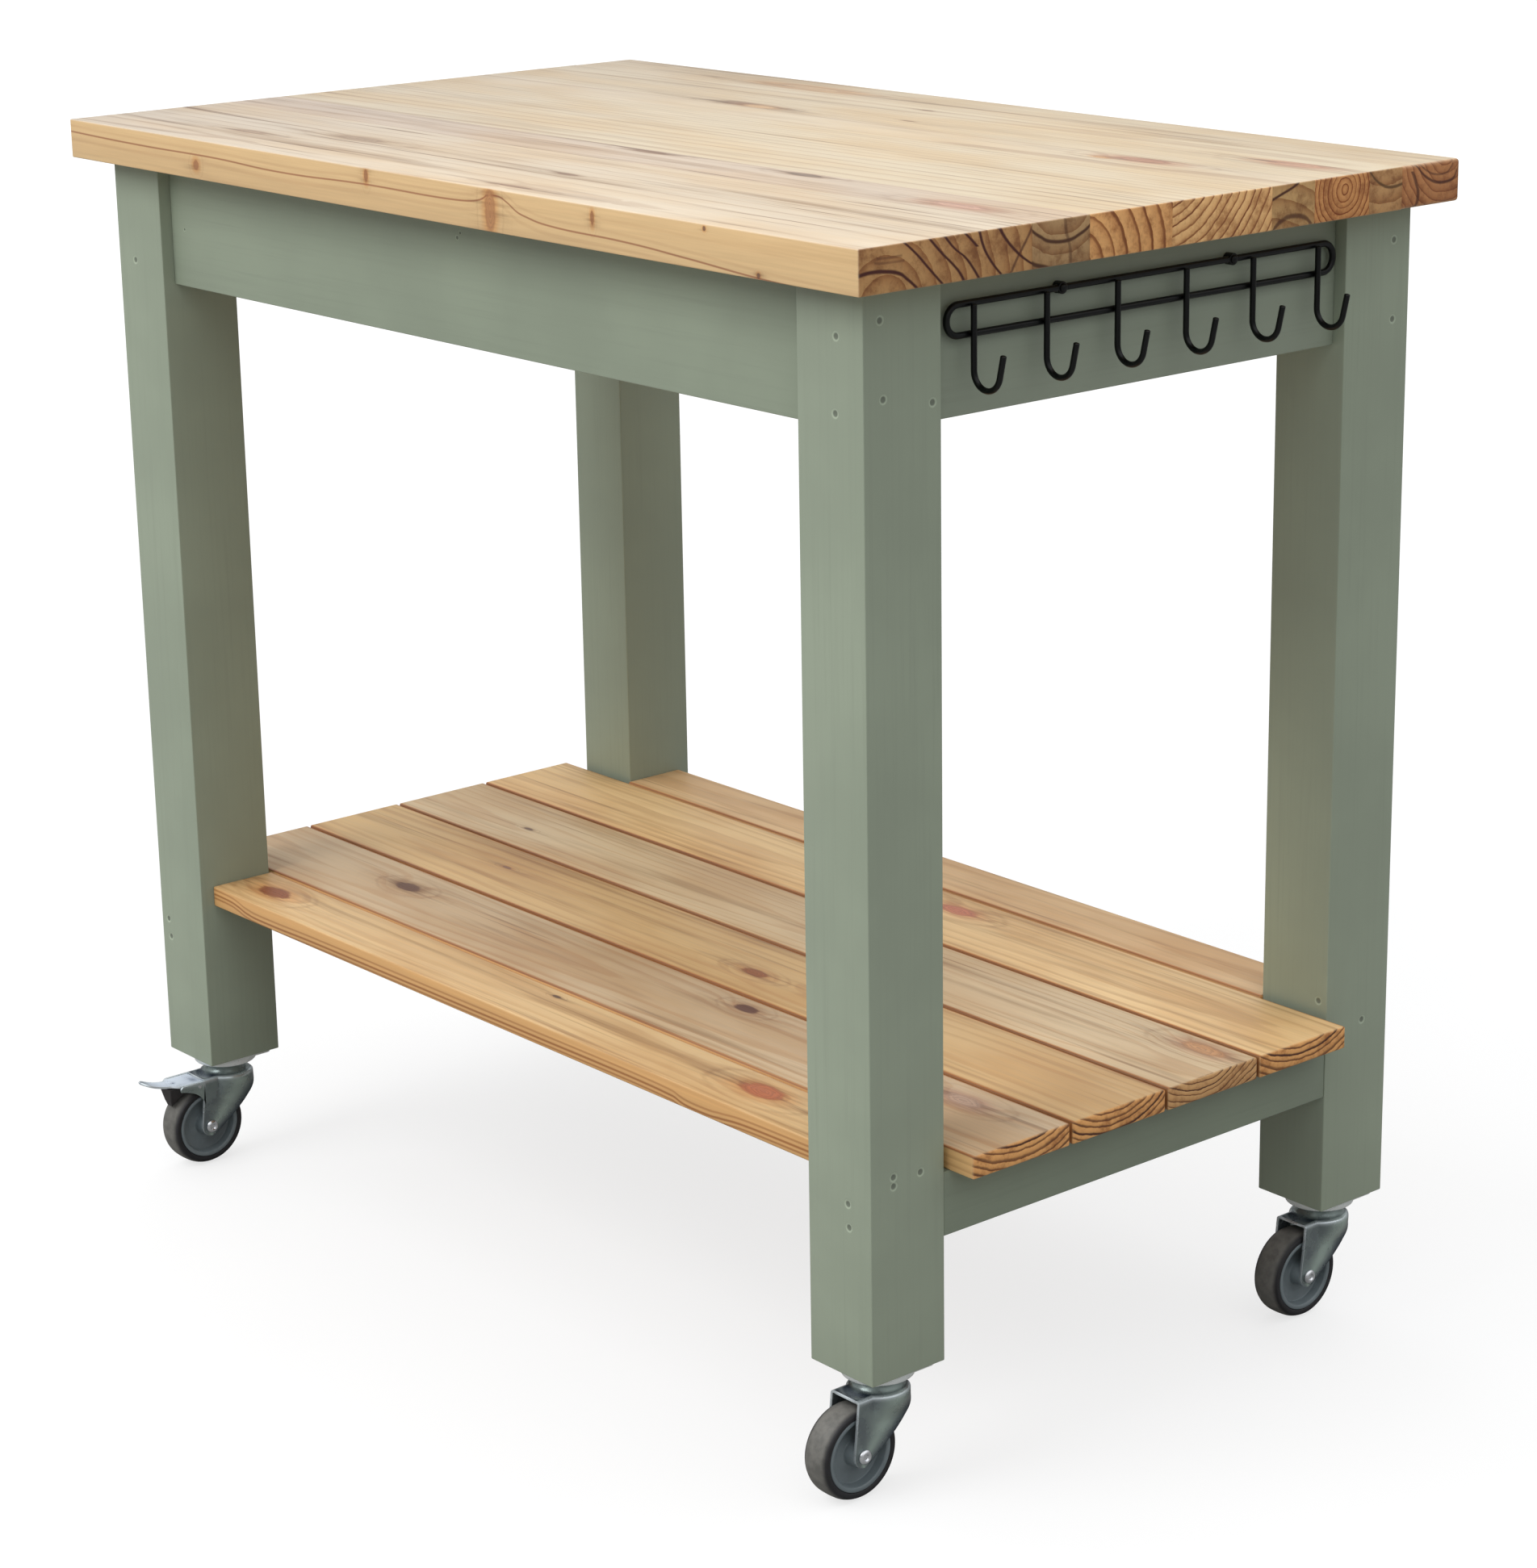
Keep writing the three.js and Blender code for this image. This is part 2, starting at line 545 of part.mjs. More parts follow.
// The pedal is a flat plate between the fork's ears, whose free end narrows and turns up.
function brakePedal() {
  const back = -CHEEK_FRONT - PEDAL_BACK_GAP;
  const halfWay = -(EAR_REACH + PEDAL_REACH) / 2;
  const upper = bent([-EAR_REACH, pedalTop], [halfWay, pedalTop], [-PEDAL_REACH, pedalTop + PEDAL_TIP_RISE]);
  const lower = upper.map(([y, z]) => [y, z - PEDAL_SHEET]).reverse();
  const plate = sheetAcrossX([[back, pedalTop], ...upper, ...lower, [back, pedalTop - PEDAL_SHEET]],
    [-pedalHalfWidth, pedalHalfWidth]);
  const tipRadius = PEDAL_TIP_WIDTH / 2;
  const plan = new THREE.Shape();
  const narrowing = -EAR_REACH + PEDAL_SHOULDER;
  const turn = -EAR_REACH - PEDAL_SHOULDER_TURN;
  plan.moveTo(-pedalHalfWidth, back + CUT_PAST);
  plan.lineTo(-pedalHalfWidth, narrowing);
  plan.quadraticCurveTo(-tipRadius, turn, -tipRadius, -PEDAL_REACH + tipRadius);
  plan.absarc(0, -PEDAL_REACH + tipRadius, tipRadius, Math.PI, 2 * Math.PI, false);
  plan.quadraticCurveTo(tipRadius, turn, pedalHalfWidth, narrowing);
  plan.lineTo(pedalHalfWidth, back + CUT_PAST);
  const height = PEDAL_TIP_RISE + PEDAL_SHEET + 2 * CUT_PAST;
  const cutting = { depth: height, bevelEnabled: false, curveSegments: OUTLINE_STEPS };
  const cutter = new THREE.ExtrudeGeometry(plan, cutting).translate(0, 0, pedalTop - PEDAL_SHEET - CUT_PAST);
  const pivot = [-BRAKE_PIVOT_REACH, -brakePivotDrop];
  const atPivot = (radius, half) => solid(alongX(rod(radius, -half, half, SMALL_ROUND)).translate(0, ...pivot));
  return solid(plate)
    .intersect(solid(cutter))
    .add(atPivot(barrelRadius, pedalHalfWidth))
    .subtract(atPivot(BRAKE_PIN / 2 + RUNNING_GAP, cheekOuter));
}

function brakePin() {
  const half = cheekOuter + BRAKE_PIN_PROUD;
  const pin = rod(BRAKE_PIN / 2, -half, half, SMALL_ROUND);
  return tidied(alongX(pin).translate(0, -BRAKE_PIVOT_REACH, -brakePivotDrop));
}

// The pad hangs under the pedal and its inner side follows the tyre.
function brakePad() {
  const face = wheelRadius + PAD_LIFT;
  const underside = pedalTop - PEDAL_SHEET - SEAT_GAP;
  const start = -BRAKE_PIVOT_REACH - barrelRadius - PAD_FROM_BARREL;
  const angleAt = (y) => THREE.MathUtils.radToDeg(Math.acos((y + TRAIL) / face));
  const from = angleAt(start);
  const to = angleAt(start - PAD_FACE_LENGTH);
  const outline = [
    [start, underside],
    ...arc([-TRAIL, -axleDrop], face, from, to, PAD_FACE_STEPS),
    [start - PAD_LENGTH + PAD_NOSE_SLOPE, underside - PAD_NOSE_DROP],
    [start - PAD_LENGTH, underside],
  ];
  return tidied(sheetAcrossX(outline, [-PAD_WIDTH / 2, PAD_WIDTH / 2]));
}

const CASTORS = [
  { key: 'front_right', at: [legCentreX, -legCentreY], turn: 0, braked: false },
  { key: 'back_right', at: [legCentreX, legCentreY], turn: 0, braked: false },
  { key: 'front_left', at: [-legCentreX, -legCentreY], turn: 0, braked: true },
  { key: 'back_left', at: [-legCentreX, legCentreY], turn: 180, braked: true },
];

for (const { key, at, turn, braked } of CASTORS) {
  const castor = new THREE.Group();
  castor.position.set(at[0], at[1], CASTOR_HEIGHT);
  castor.rotation.z = degrees(turn);
  island.add(castor);
  add(`castor_${key}_plate`, geometryOf(mountingPlate()), BRIGHT_STEEL, castor);
  add(`castor_${key}_fork`, geometryOf(fork(braked)), ZINC, castor);
  add(`castor_${key}_axle`, axleBolt(), BRIGHT_STEEL, castor);
  add(`castor_${key}_hub`, hub(), GREY_NYLON, castor);
  add(`castor_${key}_tyre`, tyre(), GREY_RUBBER, castor);
  if (braked) {
    add(`castor_${key}_brake_pedal`, geometryOf(brakePedal()), ZINC, castor);
    add(`castor_${key}_brake_pin`, brakePin(), BRIGHT_STEEL, castor);
    add(`castor_${key}_brake_pad`, brakePad(), PAD_RUBBER, castor);
  }
}

export default island;
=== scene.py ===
"""Dresses the kitchen island trolley: pine worktop and shelf, sage paint, wire hook rack and zinc castors.

Metres, +Z up, +X towards the end with the hook rack, -Y the front long side.
"""
import json
import math

import bpy
import numpy as np
from mathutils import Matrix, Vector


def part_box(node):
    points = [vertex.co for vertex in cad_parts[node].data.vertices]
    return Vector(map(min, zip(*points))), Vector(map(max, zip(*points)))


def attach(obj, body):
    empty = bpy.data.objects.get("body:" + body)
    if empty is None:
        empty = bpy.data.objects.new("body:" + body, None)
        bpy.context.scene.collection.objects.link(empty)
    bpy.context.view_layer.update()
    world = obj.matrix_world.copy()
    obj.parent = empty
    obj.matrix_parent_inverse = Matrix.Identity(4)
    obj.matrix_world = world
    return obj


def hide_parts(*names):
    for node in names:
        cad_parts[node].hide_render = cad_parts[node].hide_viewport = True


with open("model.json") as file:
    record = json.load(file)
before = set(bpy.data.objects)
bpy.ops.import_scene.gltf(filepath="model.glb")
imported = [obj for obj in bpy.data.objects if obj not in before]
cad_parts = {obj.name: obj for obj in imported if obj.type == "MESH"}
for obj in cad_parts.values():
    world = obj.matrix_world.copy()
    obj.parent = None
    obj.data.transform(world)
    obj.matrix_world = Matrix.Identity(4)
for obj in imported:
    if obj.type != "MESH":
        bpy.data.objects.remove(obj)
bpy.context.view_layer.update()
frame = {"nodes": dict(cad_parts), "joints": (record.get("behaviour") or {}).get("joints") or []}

MM = 0.001
TAU = 2 * math.pi
JOINT = {joint["name"]: joint for joint in frame["joints"]}


# ---------- meshes ----------
SHARP_ANGLE = math.radians(35)


def placed(name, data):
    """Puts an object with this data into the scene."""
    made = bpy.data.objects.new(name, data)
    bpy.context.scene.collection.objects.link(made)
    return made


def piece(name, shape, finish, body, replaces):
    """Makes a mesh of a shape, which is points, faces and perhaps masks by name. It is shaded smooth up to
    the sharp angle, rides on a body and stands for the CAD nodes that it replaces."""
    points, faces, masks = (*shape, {})[:3]
    mesh = bpy.data.meshes.new(name)
    mesh.from_pydata(np.asarray(points, float).tolist(), [], [list(map(int, face)) for face in faces])
    mesh.polygons.foreach_set("use_smooth", np.ones(len(mesh.polygons), bool))
    mesh.set_sharp_from_angle(angle=SHARP_ANGLE)
    for label, values in masks.items():
        attribute = mesh.attributes.new(label, "FLOAT", "POINT")
        attribute.data.foreach_set("value", np.asarray(values, np.float32))
    mesh.materials.append(finish)
    made = placed(name, mesh)
    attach(made, body)
    if replaces:
        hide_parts(*replaces)
    return made


def grid_faces(rows, columns, closed_rows=False, closed_columns=False):
    """The four-sided faces between neighbouring points of a grid that is stored row by row."""
    row, column = np.meshgrid(
        np.arange(rows if closed_rows else rows - 1),
        np.arange(columns if closed_columns else columns - 1), indexing="ij")
    next_row, next_column = (row + 1) % rows, (column + 1) % columns
    corners = [row * columns + column, row * columns + next_column,
               next_row * columns + next_column, next_row * columns + column]
    return np.stack(corners, -1).reshape(-1, 4)


def tube_faces(rows, columns):
    """The faces of a tube that is stored ring by ring, and the flat caps at its two ends."""
    last = (rows - 1) * columns
    caps = [list(range(columns))[::-1], list(range(last, last + columns))]
    return grid_faces(rows, columns, closed_columns=True).tolist() + caps


def eased(corners, radius, steps=4, closed=True):
    """Rounds the corners of an outline. Each corner becomes a parabola that starts and ends one radius from
    it, or half way along its shorter side, with the corner as its handle. An open outline keeps its two
    ends."""
    corners = np.asarray(corners, float)
    before, after = np.roll(corners, 1, 0) - corners, np.roll(corners, -1, 0) - corners
    long_before, long_after = np.linalg.norm(before, axis=1), np.linalg.norm(after, axis=1)
    radius = np.broadcast_to(np.asarray(radius, float), len(corners))
    reach = np.minimum(radius, np.minimum(long_before, long_after) * 0.49)
    start = corners + before * (reach / long_before)[:, None]
    end = corners + after * (reach / long_after)[:, None]
    t = np.linspace(0, 1, steps + 1)[None, :, None]
    curves = (1 - t) ** 2 * start[:, None] + 2 * t * (1 - t) * corners[:, None] + t ** 2 * end[:, None]
    if closed:
        return curves.reshape(-1, 2)
    return np.vstack([corners[:1], curves[1:-1].reshape(-1, 2), corners[-1:]])


def turned(profile, sides, axis_x=True):
    """Turns a profile of (radius, height) points round the X axis, or round Z. A profile that doesn't come
    back to its start has a flat cap at both ends. The outside faces out for a profile that is listed
    upwards."""
    profile = np.asarray(profile, float)
    angle = np.arange(sides) * TAU / sides
    radius, height = profile[:, 0][:, None], profile[:, 1][:, None]
    ring = np.stack([radius * np.cos(angle), radius * np.sin(angle), height + 0 * angle], -1)
    if axis_x:
        ring = ring[..., [2, 0, 1]]
    if np.allclose(profile[0], profile[-1]):
        return ring[:-1].reshape(-1, 3), grid_faces(len(profile) - 1, sides, True, True).tolist()
    return ring.reshape(-1, 3), tube_faces(len(profile), sides)


CAP_ANGLES, END_ROUNDING = np.radians([25, 50, 70, 90]), 0.35
WIRE_SIDES = 16


def swept(route, radius):
    """A round wire along a route of points. Each ring of points lies square to the route, and turns with it
    from ring to ring by the smallest angle. Both ends are closed by a slightly rounded cap."""
    route = np.asarray(route, float)
    along = np.gradient(route, axis=0)
    along /= np.linalg.norm(along, axis=1)[:, None]
    side = np.zeros_like(route)
    seed = np.eye(3)[np.argmin(np.abs(along[0]))]
    side[0] = np.cross(along[0], seed)
    for i in range(1, len(route)):
        side[i] = side[i - 1] - along[i] * (side[i - 1] @ along[i])
    side /= np.linalg.norm(side, axis=1)[:, None]
    other = np.cross(along, side)
    round_end = np.sin(CAP_ANGLES)
    lift = (1 - np.cos(CAP_ANGLES)) * radius * END_ROUNDING
    grown = np.concatenate([round_end, np.ones(len(route) - 2), round_end[::-1]]) * radius
    centre = np.vstack([
        route[:1] + along[:1] * lift[:, None], route[1:-1], route[-1:] - along[-1:] * lift[::-1, None]])
    caps = len(CAP_ANGLES)
    pick = np.r_[np.zeros(caps, int), np.arange(1, len(route) - 1), np.full(caps, len(route) - 1)]
    angle = np.arange(WIRE_SIDES) * TAU / WIRE_SIDES
    ring = side[pick][:, None] * np.cos(angle)[:, None] + other[pick][:, None] * np.sin(angle)[:, None]
    points = centre[:, None] + ring * grown[:, None, None]
    return points.reshape(-1, 3), tube_faces(len(centre), WIRE_SIDES)


def slab(outline, low, high):
    """A flat outline in the plane across X, from low to high in X, closed by its two flat sides."""
    outline = np.asarray(outline, float)
    count = len(outline)
    sides = [np.c_[np.full(count, x), outline] for x in (low, high)]
    return np.vstack(sides), tube_faces(2, count)


def joined(*shapes):
    """Puts several shapes of points and faces into one."""
    points, faces, first = [], [], 0
    for shape_points, shape_faces in shapes:
        points.append(shape_points)
        faces += [[first + int(i) for i in face] for face in shape_faces]
        first += len(shape_points)
    return np.vstack(points), faces


TIMBER_STEP, DENT_STEPS = 50 * MM, 13


def timber(low, high, ease, open_sides=(), dents=()):
    """A block with eased edges. A point p of the sharp block moves to q + ease * (p - q) / |p - q|, where q
    is the nearest point of the block shrunk by the easing, so that flat faces stay and edges turn round. The
    block isn't shrunk on its open sides, which stay sharp against a neighbour. Dents sink the face by depth *
    (1 - (r / radius)^2)^2 round their centre. Returns points, faces and masks: how far a point faces along X
    (cut) or up (top), how far it lies on a turned edge, and how deep in a dent (filler)."""
    low, high = np.asarray(low, float), np.asarray(high, float)
    shrink_low, shrink_high = np.full(3, ease), np.full(3, ease)
    for axis, side in open_sides:
        (shrink_low if side < 0 else shrink_high)[axis] = 0
    lines = []
    for axis in range(3):
        band = ease * (1 - np.cos(np.linspace(0, math.pi / 2, 4)))
        count = max(2, int((high[axis] - low[axis]) / TIMBER_STEP))
        own = [np.linspace(low[axis], high[axis], count), low[axis] + band, high[axis] - band]
        for face_axis, _, centre, radius, _ in dents:
            if face_axis != axis:
                place = centre[[a for a in range(3) if a != face_axis].index(axis)]
                own.append(place + radius * np.linspace(-1.1, 1.1, DENT_STEPS))
        values = np.unique(np.round(np.clip(np.concatenate(own), low[axis], high[axis]), 6))
        lines.append(values[np.r_[True, np.diff(values) > 2e-5]])
    points, faces, first = [], [], 0
    for axis in range(3):
        a, b = [i for i in range(3) if i != axis]
        for side, level in ((-1, low[axis]), (1, high[axis])):
            grid = np.zeros((len(lines[a]), len(lines[b]), 3))
            grid[..., a], grid[..., b] = np.meshgrid(lines[a], lines[b], indexing="ij")
            grid[..., axis] = level
            quads = grid_faces(len(lines[a]), len(lines[b]))
            outwards = side * (1 if axis != 1 else -1) < 0
            points.append(grid.reshape(-1, 3))
            faces.append((quads if outwards else quads[:, ::-1])[:, ::-1] + first)
            first += len(points[-1])
    points, faces = np.vstack(points), np.vstack(faces)
    rounded = np.round(points / 1e-6).astype(np.int64)
    _, kept, which = np.unique(rounded, axis=0, return_index=True, return_inverse=True)
    points, faces = points[kept], which.reshape(-1)[faces]
    nearest = np.clip(points, low + shrink_low, high - shrink_high)
    away = points - nearest
    distance = np.linalg.norm(away, axis=1)
    smooth = np.where(distance > 1e-9, ease / np.maximum(distance, 1e-9), 0)
    moved = nearest + away * smooth[:, None]
    facing = np.abs(away) / np.maximum(distance, 1e-9)[:, None]
    for axis in range(3):
        on_face = (np.abs(points[:, axis] - low[axis]) < 1e-9) | (np.abs(points[:, axis] - high[axis]) < 1e-9)
        flat = on_face & (np.max(facing, axis=1) == 0)
        facing[flat, axis] = 1
    upper = moved[:, 2] > (low[2] + high[2]) / 2
    masks = {"edge": 1 - np.max(facing, axis=1), "cut": facing[:, 0], "top": np.where(upper, facing[:, 2], 0),
             "filler": np.zeros(len(points))}
    for axis, side, centre, radius, depth in dents:
        across = np.delete(points, axis, 1)
        level = high[axis] if side > 0 else low[axis]
        r = np.linalg.norm(across - centre, axis=1) / radius
        hollow = np.where((r < 1) & (np.abs(points[:, axis] - level) < 1e-6), (1 - r ** 2) ** 2, 0)
        moved[:, axis] -= side * depth * hollow
        masks["filler"] = np.maximum(masks["filler"], hollow)
    return moved, faces, masks


# ---------- materials ----------
class Value:
    """What a node puts out. Sums, products and so on of values and plain numbers add Math nodes to its
    tree."""

    def __init__(self, socket):
        self.socket, self.tree = socket, socket.id_data

    def __add__(self, other):
        return maths("ADD", self, other)

    def __sub__(self, other):
        return maths("SUBTRACT", self, other)

    def __rsub__(self, other):
        return maths("SUBTRACT", other, self)

    def __mul__(self, other):
        return maths("MULTIPLY", self, other)

    def __truediv__(self, other):
        return maths("DIVIDE", self, other)

    __radd__ = __add__


def tree_of(*values):
    """The node tree that holds these values, some of which may be plain numbers."""
    return next(value.tree for value in values if isinstance(value, Value))


def added(tree, kind, inputs=(), **settings):
    """Adds a node, sets its properties, and sets or links its inputs, which are given by name or number."""
    made = tree.nodes.new(kind)
    for key, value in settings.items():
        setattr(made, key, value)
    for key, value in dict(inputs).items():
        if isinstance(value, Value):
            tree.links.new(value.socket, made.inputs[key])
        else:
            made.inputs[key].default_value = value
    return made


def node(tree, kind, inputs=(), output=0, **settings):
    """Adds a node and returns one of its outputs."""
    return Value(added(tree, kind, inputs, **settings).outputs[output])


def maths(operation, *values):
    return node(tree_of(*values), "ShaderNodeMath", enumerate(values), operation=operation)


def vectors(operation, *values):
    return node(tree_of(*values), "ShaderNodeVectorMath", enumerate(values), operation=operation)


def stretched(vector, scale):
    return vectors("MULTIPLY", vector, scale)


def length(vector):
    return node(vector.tree, "ShaderNodeVectorMath", {0: vector}, "Value", operation="LENGTH")


def separated(vector):
    return [Value(part) for part in added(vector.tree, "ShaderNodeSeparateXYZ", {0: vector}).outputs]


def combined(tree, x, y, z):
    return node(tree, "ShaderNodeCombineXYZ", {0: x, 1: y, 2: z})


def ramped(value, low, high, to_low=0.0, to_high=1.0):
    """Maps a value smoothly from one range to another."""
    inputs = {"Value": value, "From Min": low, "From Max": high, "To Min": to_low, "To Max": to_high}
    return node(value.tree, "ShaderNodeMapRange", inputs, interpolation_type="SMOOTHSTEP")


def noise(vector, scale, detail=2.0, roughness=0.5):
    inputs = {"Vector": vector, "Scale": scale, "Detail": detail, "Roughness": roughness}
    return node(vector.tree, "ShaderNodeTexNoise", inputs, "Fac")


def mixed(share, first, second, blend="MIX"):
    inputs = {0: share, 6: first, 7: second}
    return node(tree_of(share, first, second), "ShaderNodeMix", inputs, 2, data_type="RGBA", blend_type=blend)


def darker(share, colour, tint):
    """Multiplies a colour by a tint, as far as the share says."""
    return mixed(share, colour, srgb(tint), "MULTIPLY")


def mask(place, label):
    """The piece's own mask of that name."""
    return node(place.tree, "ShaderNodeAttribute", (), "Fac", attribute_name=label)


def bumped(height, strength, distance):
    inputs = {"Strength": strength, "Distance": distance * MM, "Height": height}
    return node(height.tree, "ShaderNodeBump", inputs, "Normal")


def srgb(colour, strength=1.0):
    """A colour given as a screen shows it, 0 to 255, as the linear values that a shader takes."""
    value = np.minimum(np.array(colour) * strength, 255) / 255
    linear = np.where(value <= 0.04045, value / 12.92, ((value + 0.055) / 1.055) ** 2.4)
    return (*linear.tolist(), 1.0)


def group(name, inputs, build):
    """A node group. Inputs holds each input's default, or None for a vector, and build(inputs) returns its
    outputs by name."""
    tree = bpy.data.node_groups.new(name, "ShaderNodeTree")
    for label, default in inputs.items():
        kind = "NodeSocketVector" if default is None else "NodeSocketFloat"
        socket = tree.interface.new_socket(name=label, in_out="INPUT", socket_type=kind)
        if default is not None:
            socket.default_value = default
    entry = tree.nodes.new("NodeGroupInput")
    made = build({label: Value(entry.outputs[label]) for label in inputs})
    for label in made:
        tree.interface.new_socket(name=label, in_out="OUTPUT", socket_type="NodeSocketFloat")
    leave = tree.nodes.new("NodeGroupOutput")
    for label, value in made.items():
        tree.links.new(value.socket, leave.inputs[label])
    return tree


def use(made_group, **inputs):
    """Places a node group in a material with its own values, and returns its outputs by name."""
    inputs = {label.replace("_", " "): value for label, value in inputs.items()}
    made = added(tree_of(*inputs.values()), "ShaderNodeGroup", inputs, node_tree=made_group)
    return {output.name: Value(output) for output in made.outputs}


def material(name, build, **constants):
    """A material whose Principled shader gets constants set on its sockets and links from build(place)."""
    made = bpy.data.materials.new(name)
    made.use_nodes = True
    tree = made.node_tree
    shader = tree.nodes["Principled BSDF"]
    for label, value in constants.items():
        shader.inputs[label.replace("_", " ")].default_value = value
    for label, value in build(node(tree, "ShaderNodeTexCoord", (), "Object")).items():
        tree.links.new(value.socket, shader.inputs[label])
    return made


def ring_nodes(given):
    """Growth rings round a pith that runs along X: the distance from it, bent by slow noise, swollen round
    knots and counted in ring widths. Tone darkens slowly across each ring, and Line is its narrow late
    wood."""
    point, share = given["Point"], given["Late Share"]
    slow_place = stretched(point, (1.6, 9, 9))
    slow = node(point.tree, "ShaderNodeTexNoise", {"Vector": slow_place, "Scale": 1.0}, "Color")
    slow = vectors("SUBTRACT", slow, (0.5, 0.5, 0.5))
    bend = node(point.tree, "ShaderNodeVectorMath", {0: slow, "Scale": given["Waviness"]}, operation="SCALE")
    radius = length(stretched(vectors("ADD", point, bend), (0, 1, 1)))
    ripple = (noise(stretched(point, (7, 90, 90)), 1.0, 3.0) - 0.5) * 0.0035
    count = (radius + given["Swell"] + ripple - given["First Ring"]) / given["Ring Width"]
    uneven = node(point.tree, "ShaderNodeTexNoise", {"W": count * 0.45, "Scale": 1.0, "Detail": 1.0}, "Fac",
                  noise_dimensions="1D")
    count = count + (uneven - 0.5) * given["Unevenness"] + 10.0
    part = maths("FRACT", count)
    line = ramped(part, 1.0 - share, 1.0 - share * 0.45) * ramped(part, 1.0 - share * 0.16, 1.0, 1.0, 0.0)
    number = maths("FLOOR", count)
    each = node(point.tree, "ShaderNodeTexWhiteNoise", {"W": number}, "Value", noise_dimensions="1D")
    return {"Line": line * ramped(each, 0.0, 1.0, 0.6, 1.0), "Tone": part * part}


def knot_nodes(given):
    """A knot that goes down through the board: an oval core, the swelling that pushes the rings round it, the
    coloured halo of its resin, the dark tails where the grain closes on both sides, and the thin growth lines
    that pass round it. The distance from its centre is 1 at the core's edge."""
    point, radius = given["Point"], given["Radius"]
    x, y, _ = separated(vectors("SUBTRACT", point, given["Centre"]))
    x, y = x / given["Stretch"] / radius, y / radius
    wobble = (noise(stretched(point, (45, 170, 170)), 1.0, 4.0, 0.6) - 0.5) * given["Wobble"]

    def distance(long, wide):
        return length(combined(point.tree, x / long, y / wide, 0.0))

    def bell(value):
        return maths("EXPONENT", value * value * -1.0)

    near = distance(1.0, 1.0) + wobble
    passing = maths("PINGPONG", (distance(1.7, 1.75) + wobble * 0.6) * 1.9, 1.0)
    streaky = ramped(noise(stretched(point, (16, 260, 16)), 1.0, 3.0), 0.4, 0.7)
    return {"Core": ramped(near, 0.7, 1.25, 1.0, 0.0),
            "Swell": bell(distance(2.0, 2.2)) * given["Push"],
            "Halo": ramped(near, 0.9, 2.4, 1.0, 0.0),
            "Tails": bell(distance(3.6, 1.3)) * streaky,
            "Rings": ramped(maths("FRACT", near * 3.5), 0.3, 1.0),
            "Passing": ramped(passing, 0.7, 1.0, 0.0, 0.8) * bell(distance(2.6, 2.2))}


def fibre_nodes(given):
    """Fine fibres drawn out along X, soft streaks, single thin lines, and slow cloudy changes of tone."""
    point = given["Point"]
    return {"Fine": noise(stretched(point, (9, 420, 420)), 1.0, 3.0, 0.6),
            "Streak": ramped(noise(stretched(point, (2.2, 60, 60)), 1.0, 4.0, 0.65), 0.5, 0.75),
            "Lines": ramped(noise(stretched(point, (3.2, 150, 150)), 1.0), 0.62, 0.76),
            "Cloud": ramped(noise(stretched(point, (5, 16, 16)), 1.0, 3.0), 0.35, 0.7)}


RINGS = group("growth rings", {
    "Point": None, "Ring Width": 0.005, "First Ring": 0.0, "Late Share": 0.2, "Waviness": 0.01,
    "Unevenness": 1.0, "Swell": 0.0}, ring_nodes)
KNOT = group("knot", {
    "Point": None, "Centre": None, "Radius": 0.01, "Stretch": 1.5, "Push": 0.01, "Wobble": 1.5}, knot_nodes)
FIBRES = group("wood fibres", {"Point": None}, fibre_nodes)


def drawn_line(along, across, route, width):
    """A growth line drawn on a face: its place across is a smooth curve through the route's points, which are
    given in mm along and across. It is full on the curve, and gone one width beside it and just past the
    route's ends."""
    made = added(along.tree, "ShaderNodeFloatCurve")
    points = made.mapping.curves[0].points
    start, end = route[0][0], route[-1][0]
    floor = min(place for _, place in route)
    rise = max(place for _, place in route) - floor
    while len(points) < len(route):
        points.new(0.5, 0.5)
    for point, (step, place) in zip(points, route):
        point.location = ((step - start) / (end - start), (place - floor) / rise)
    made.mapping.update()
    share = (along - start * MM) / ((end - start) * MM)
    along.tree.links.new(share.socket, made.inputs["Value"])
    away = maths("ABSOLUTE", across - (Value(made.outputs[0]) * (rise * MM) + floor * MM))
    past = maths("ABSOLUTE", share - 0.5)
    return ramped(away, 0.25 * width * MM, width * MM, 1.0, 0.0) * ramped(past, 0.5, 0.53, 1.0, 0.0)


# painted shade beside a seam between boards: how near and how far it reaches, in mm, and its tint there
SEAM_PAINTED_SHADE_TINTS = [(1.0, 3.2, (224, 180, 134)), (0.3, 1.1, (160, 110, 74))]


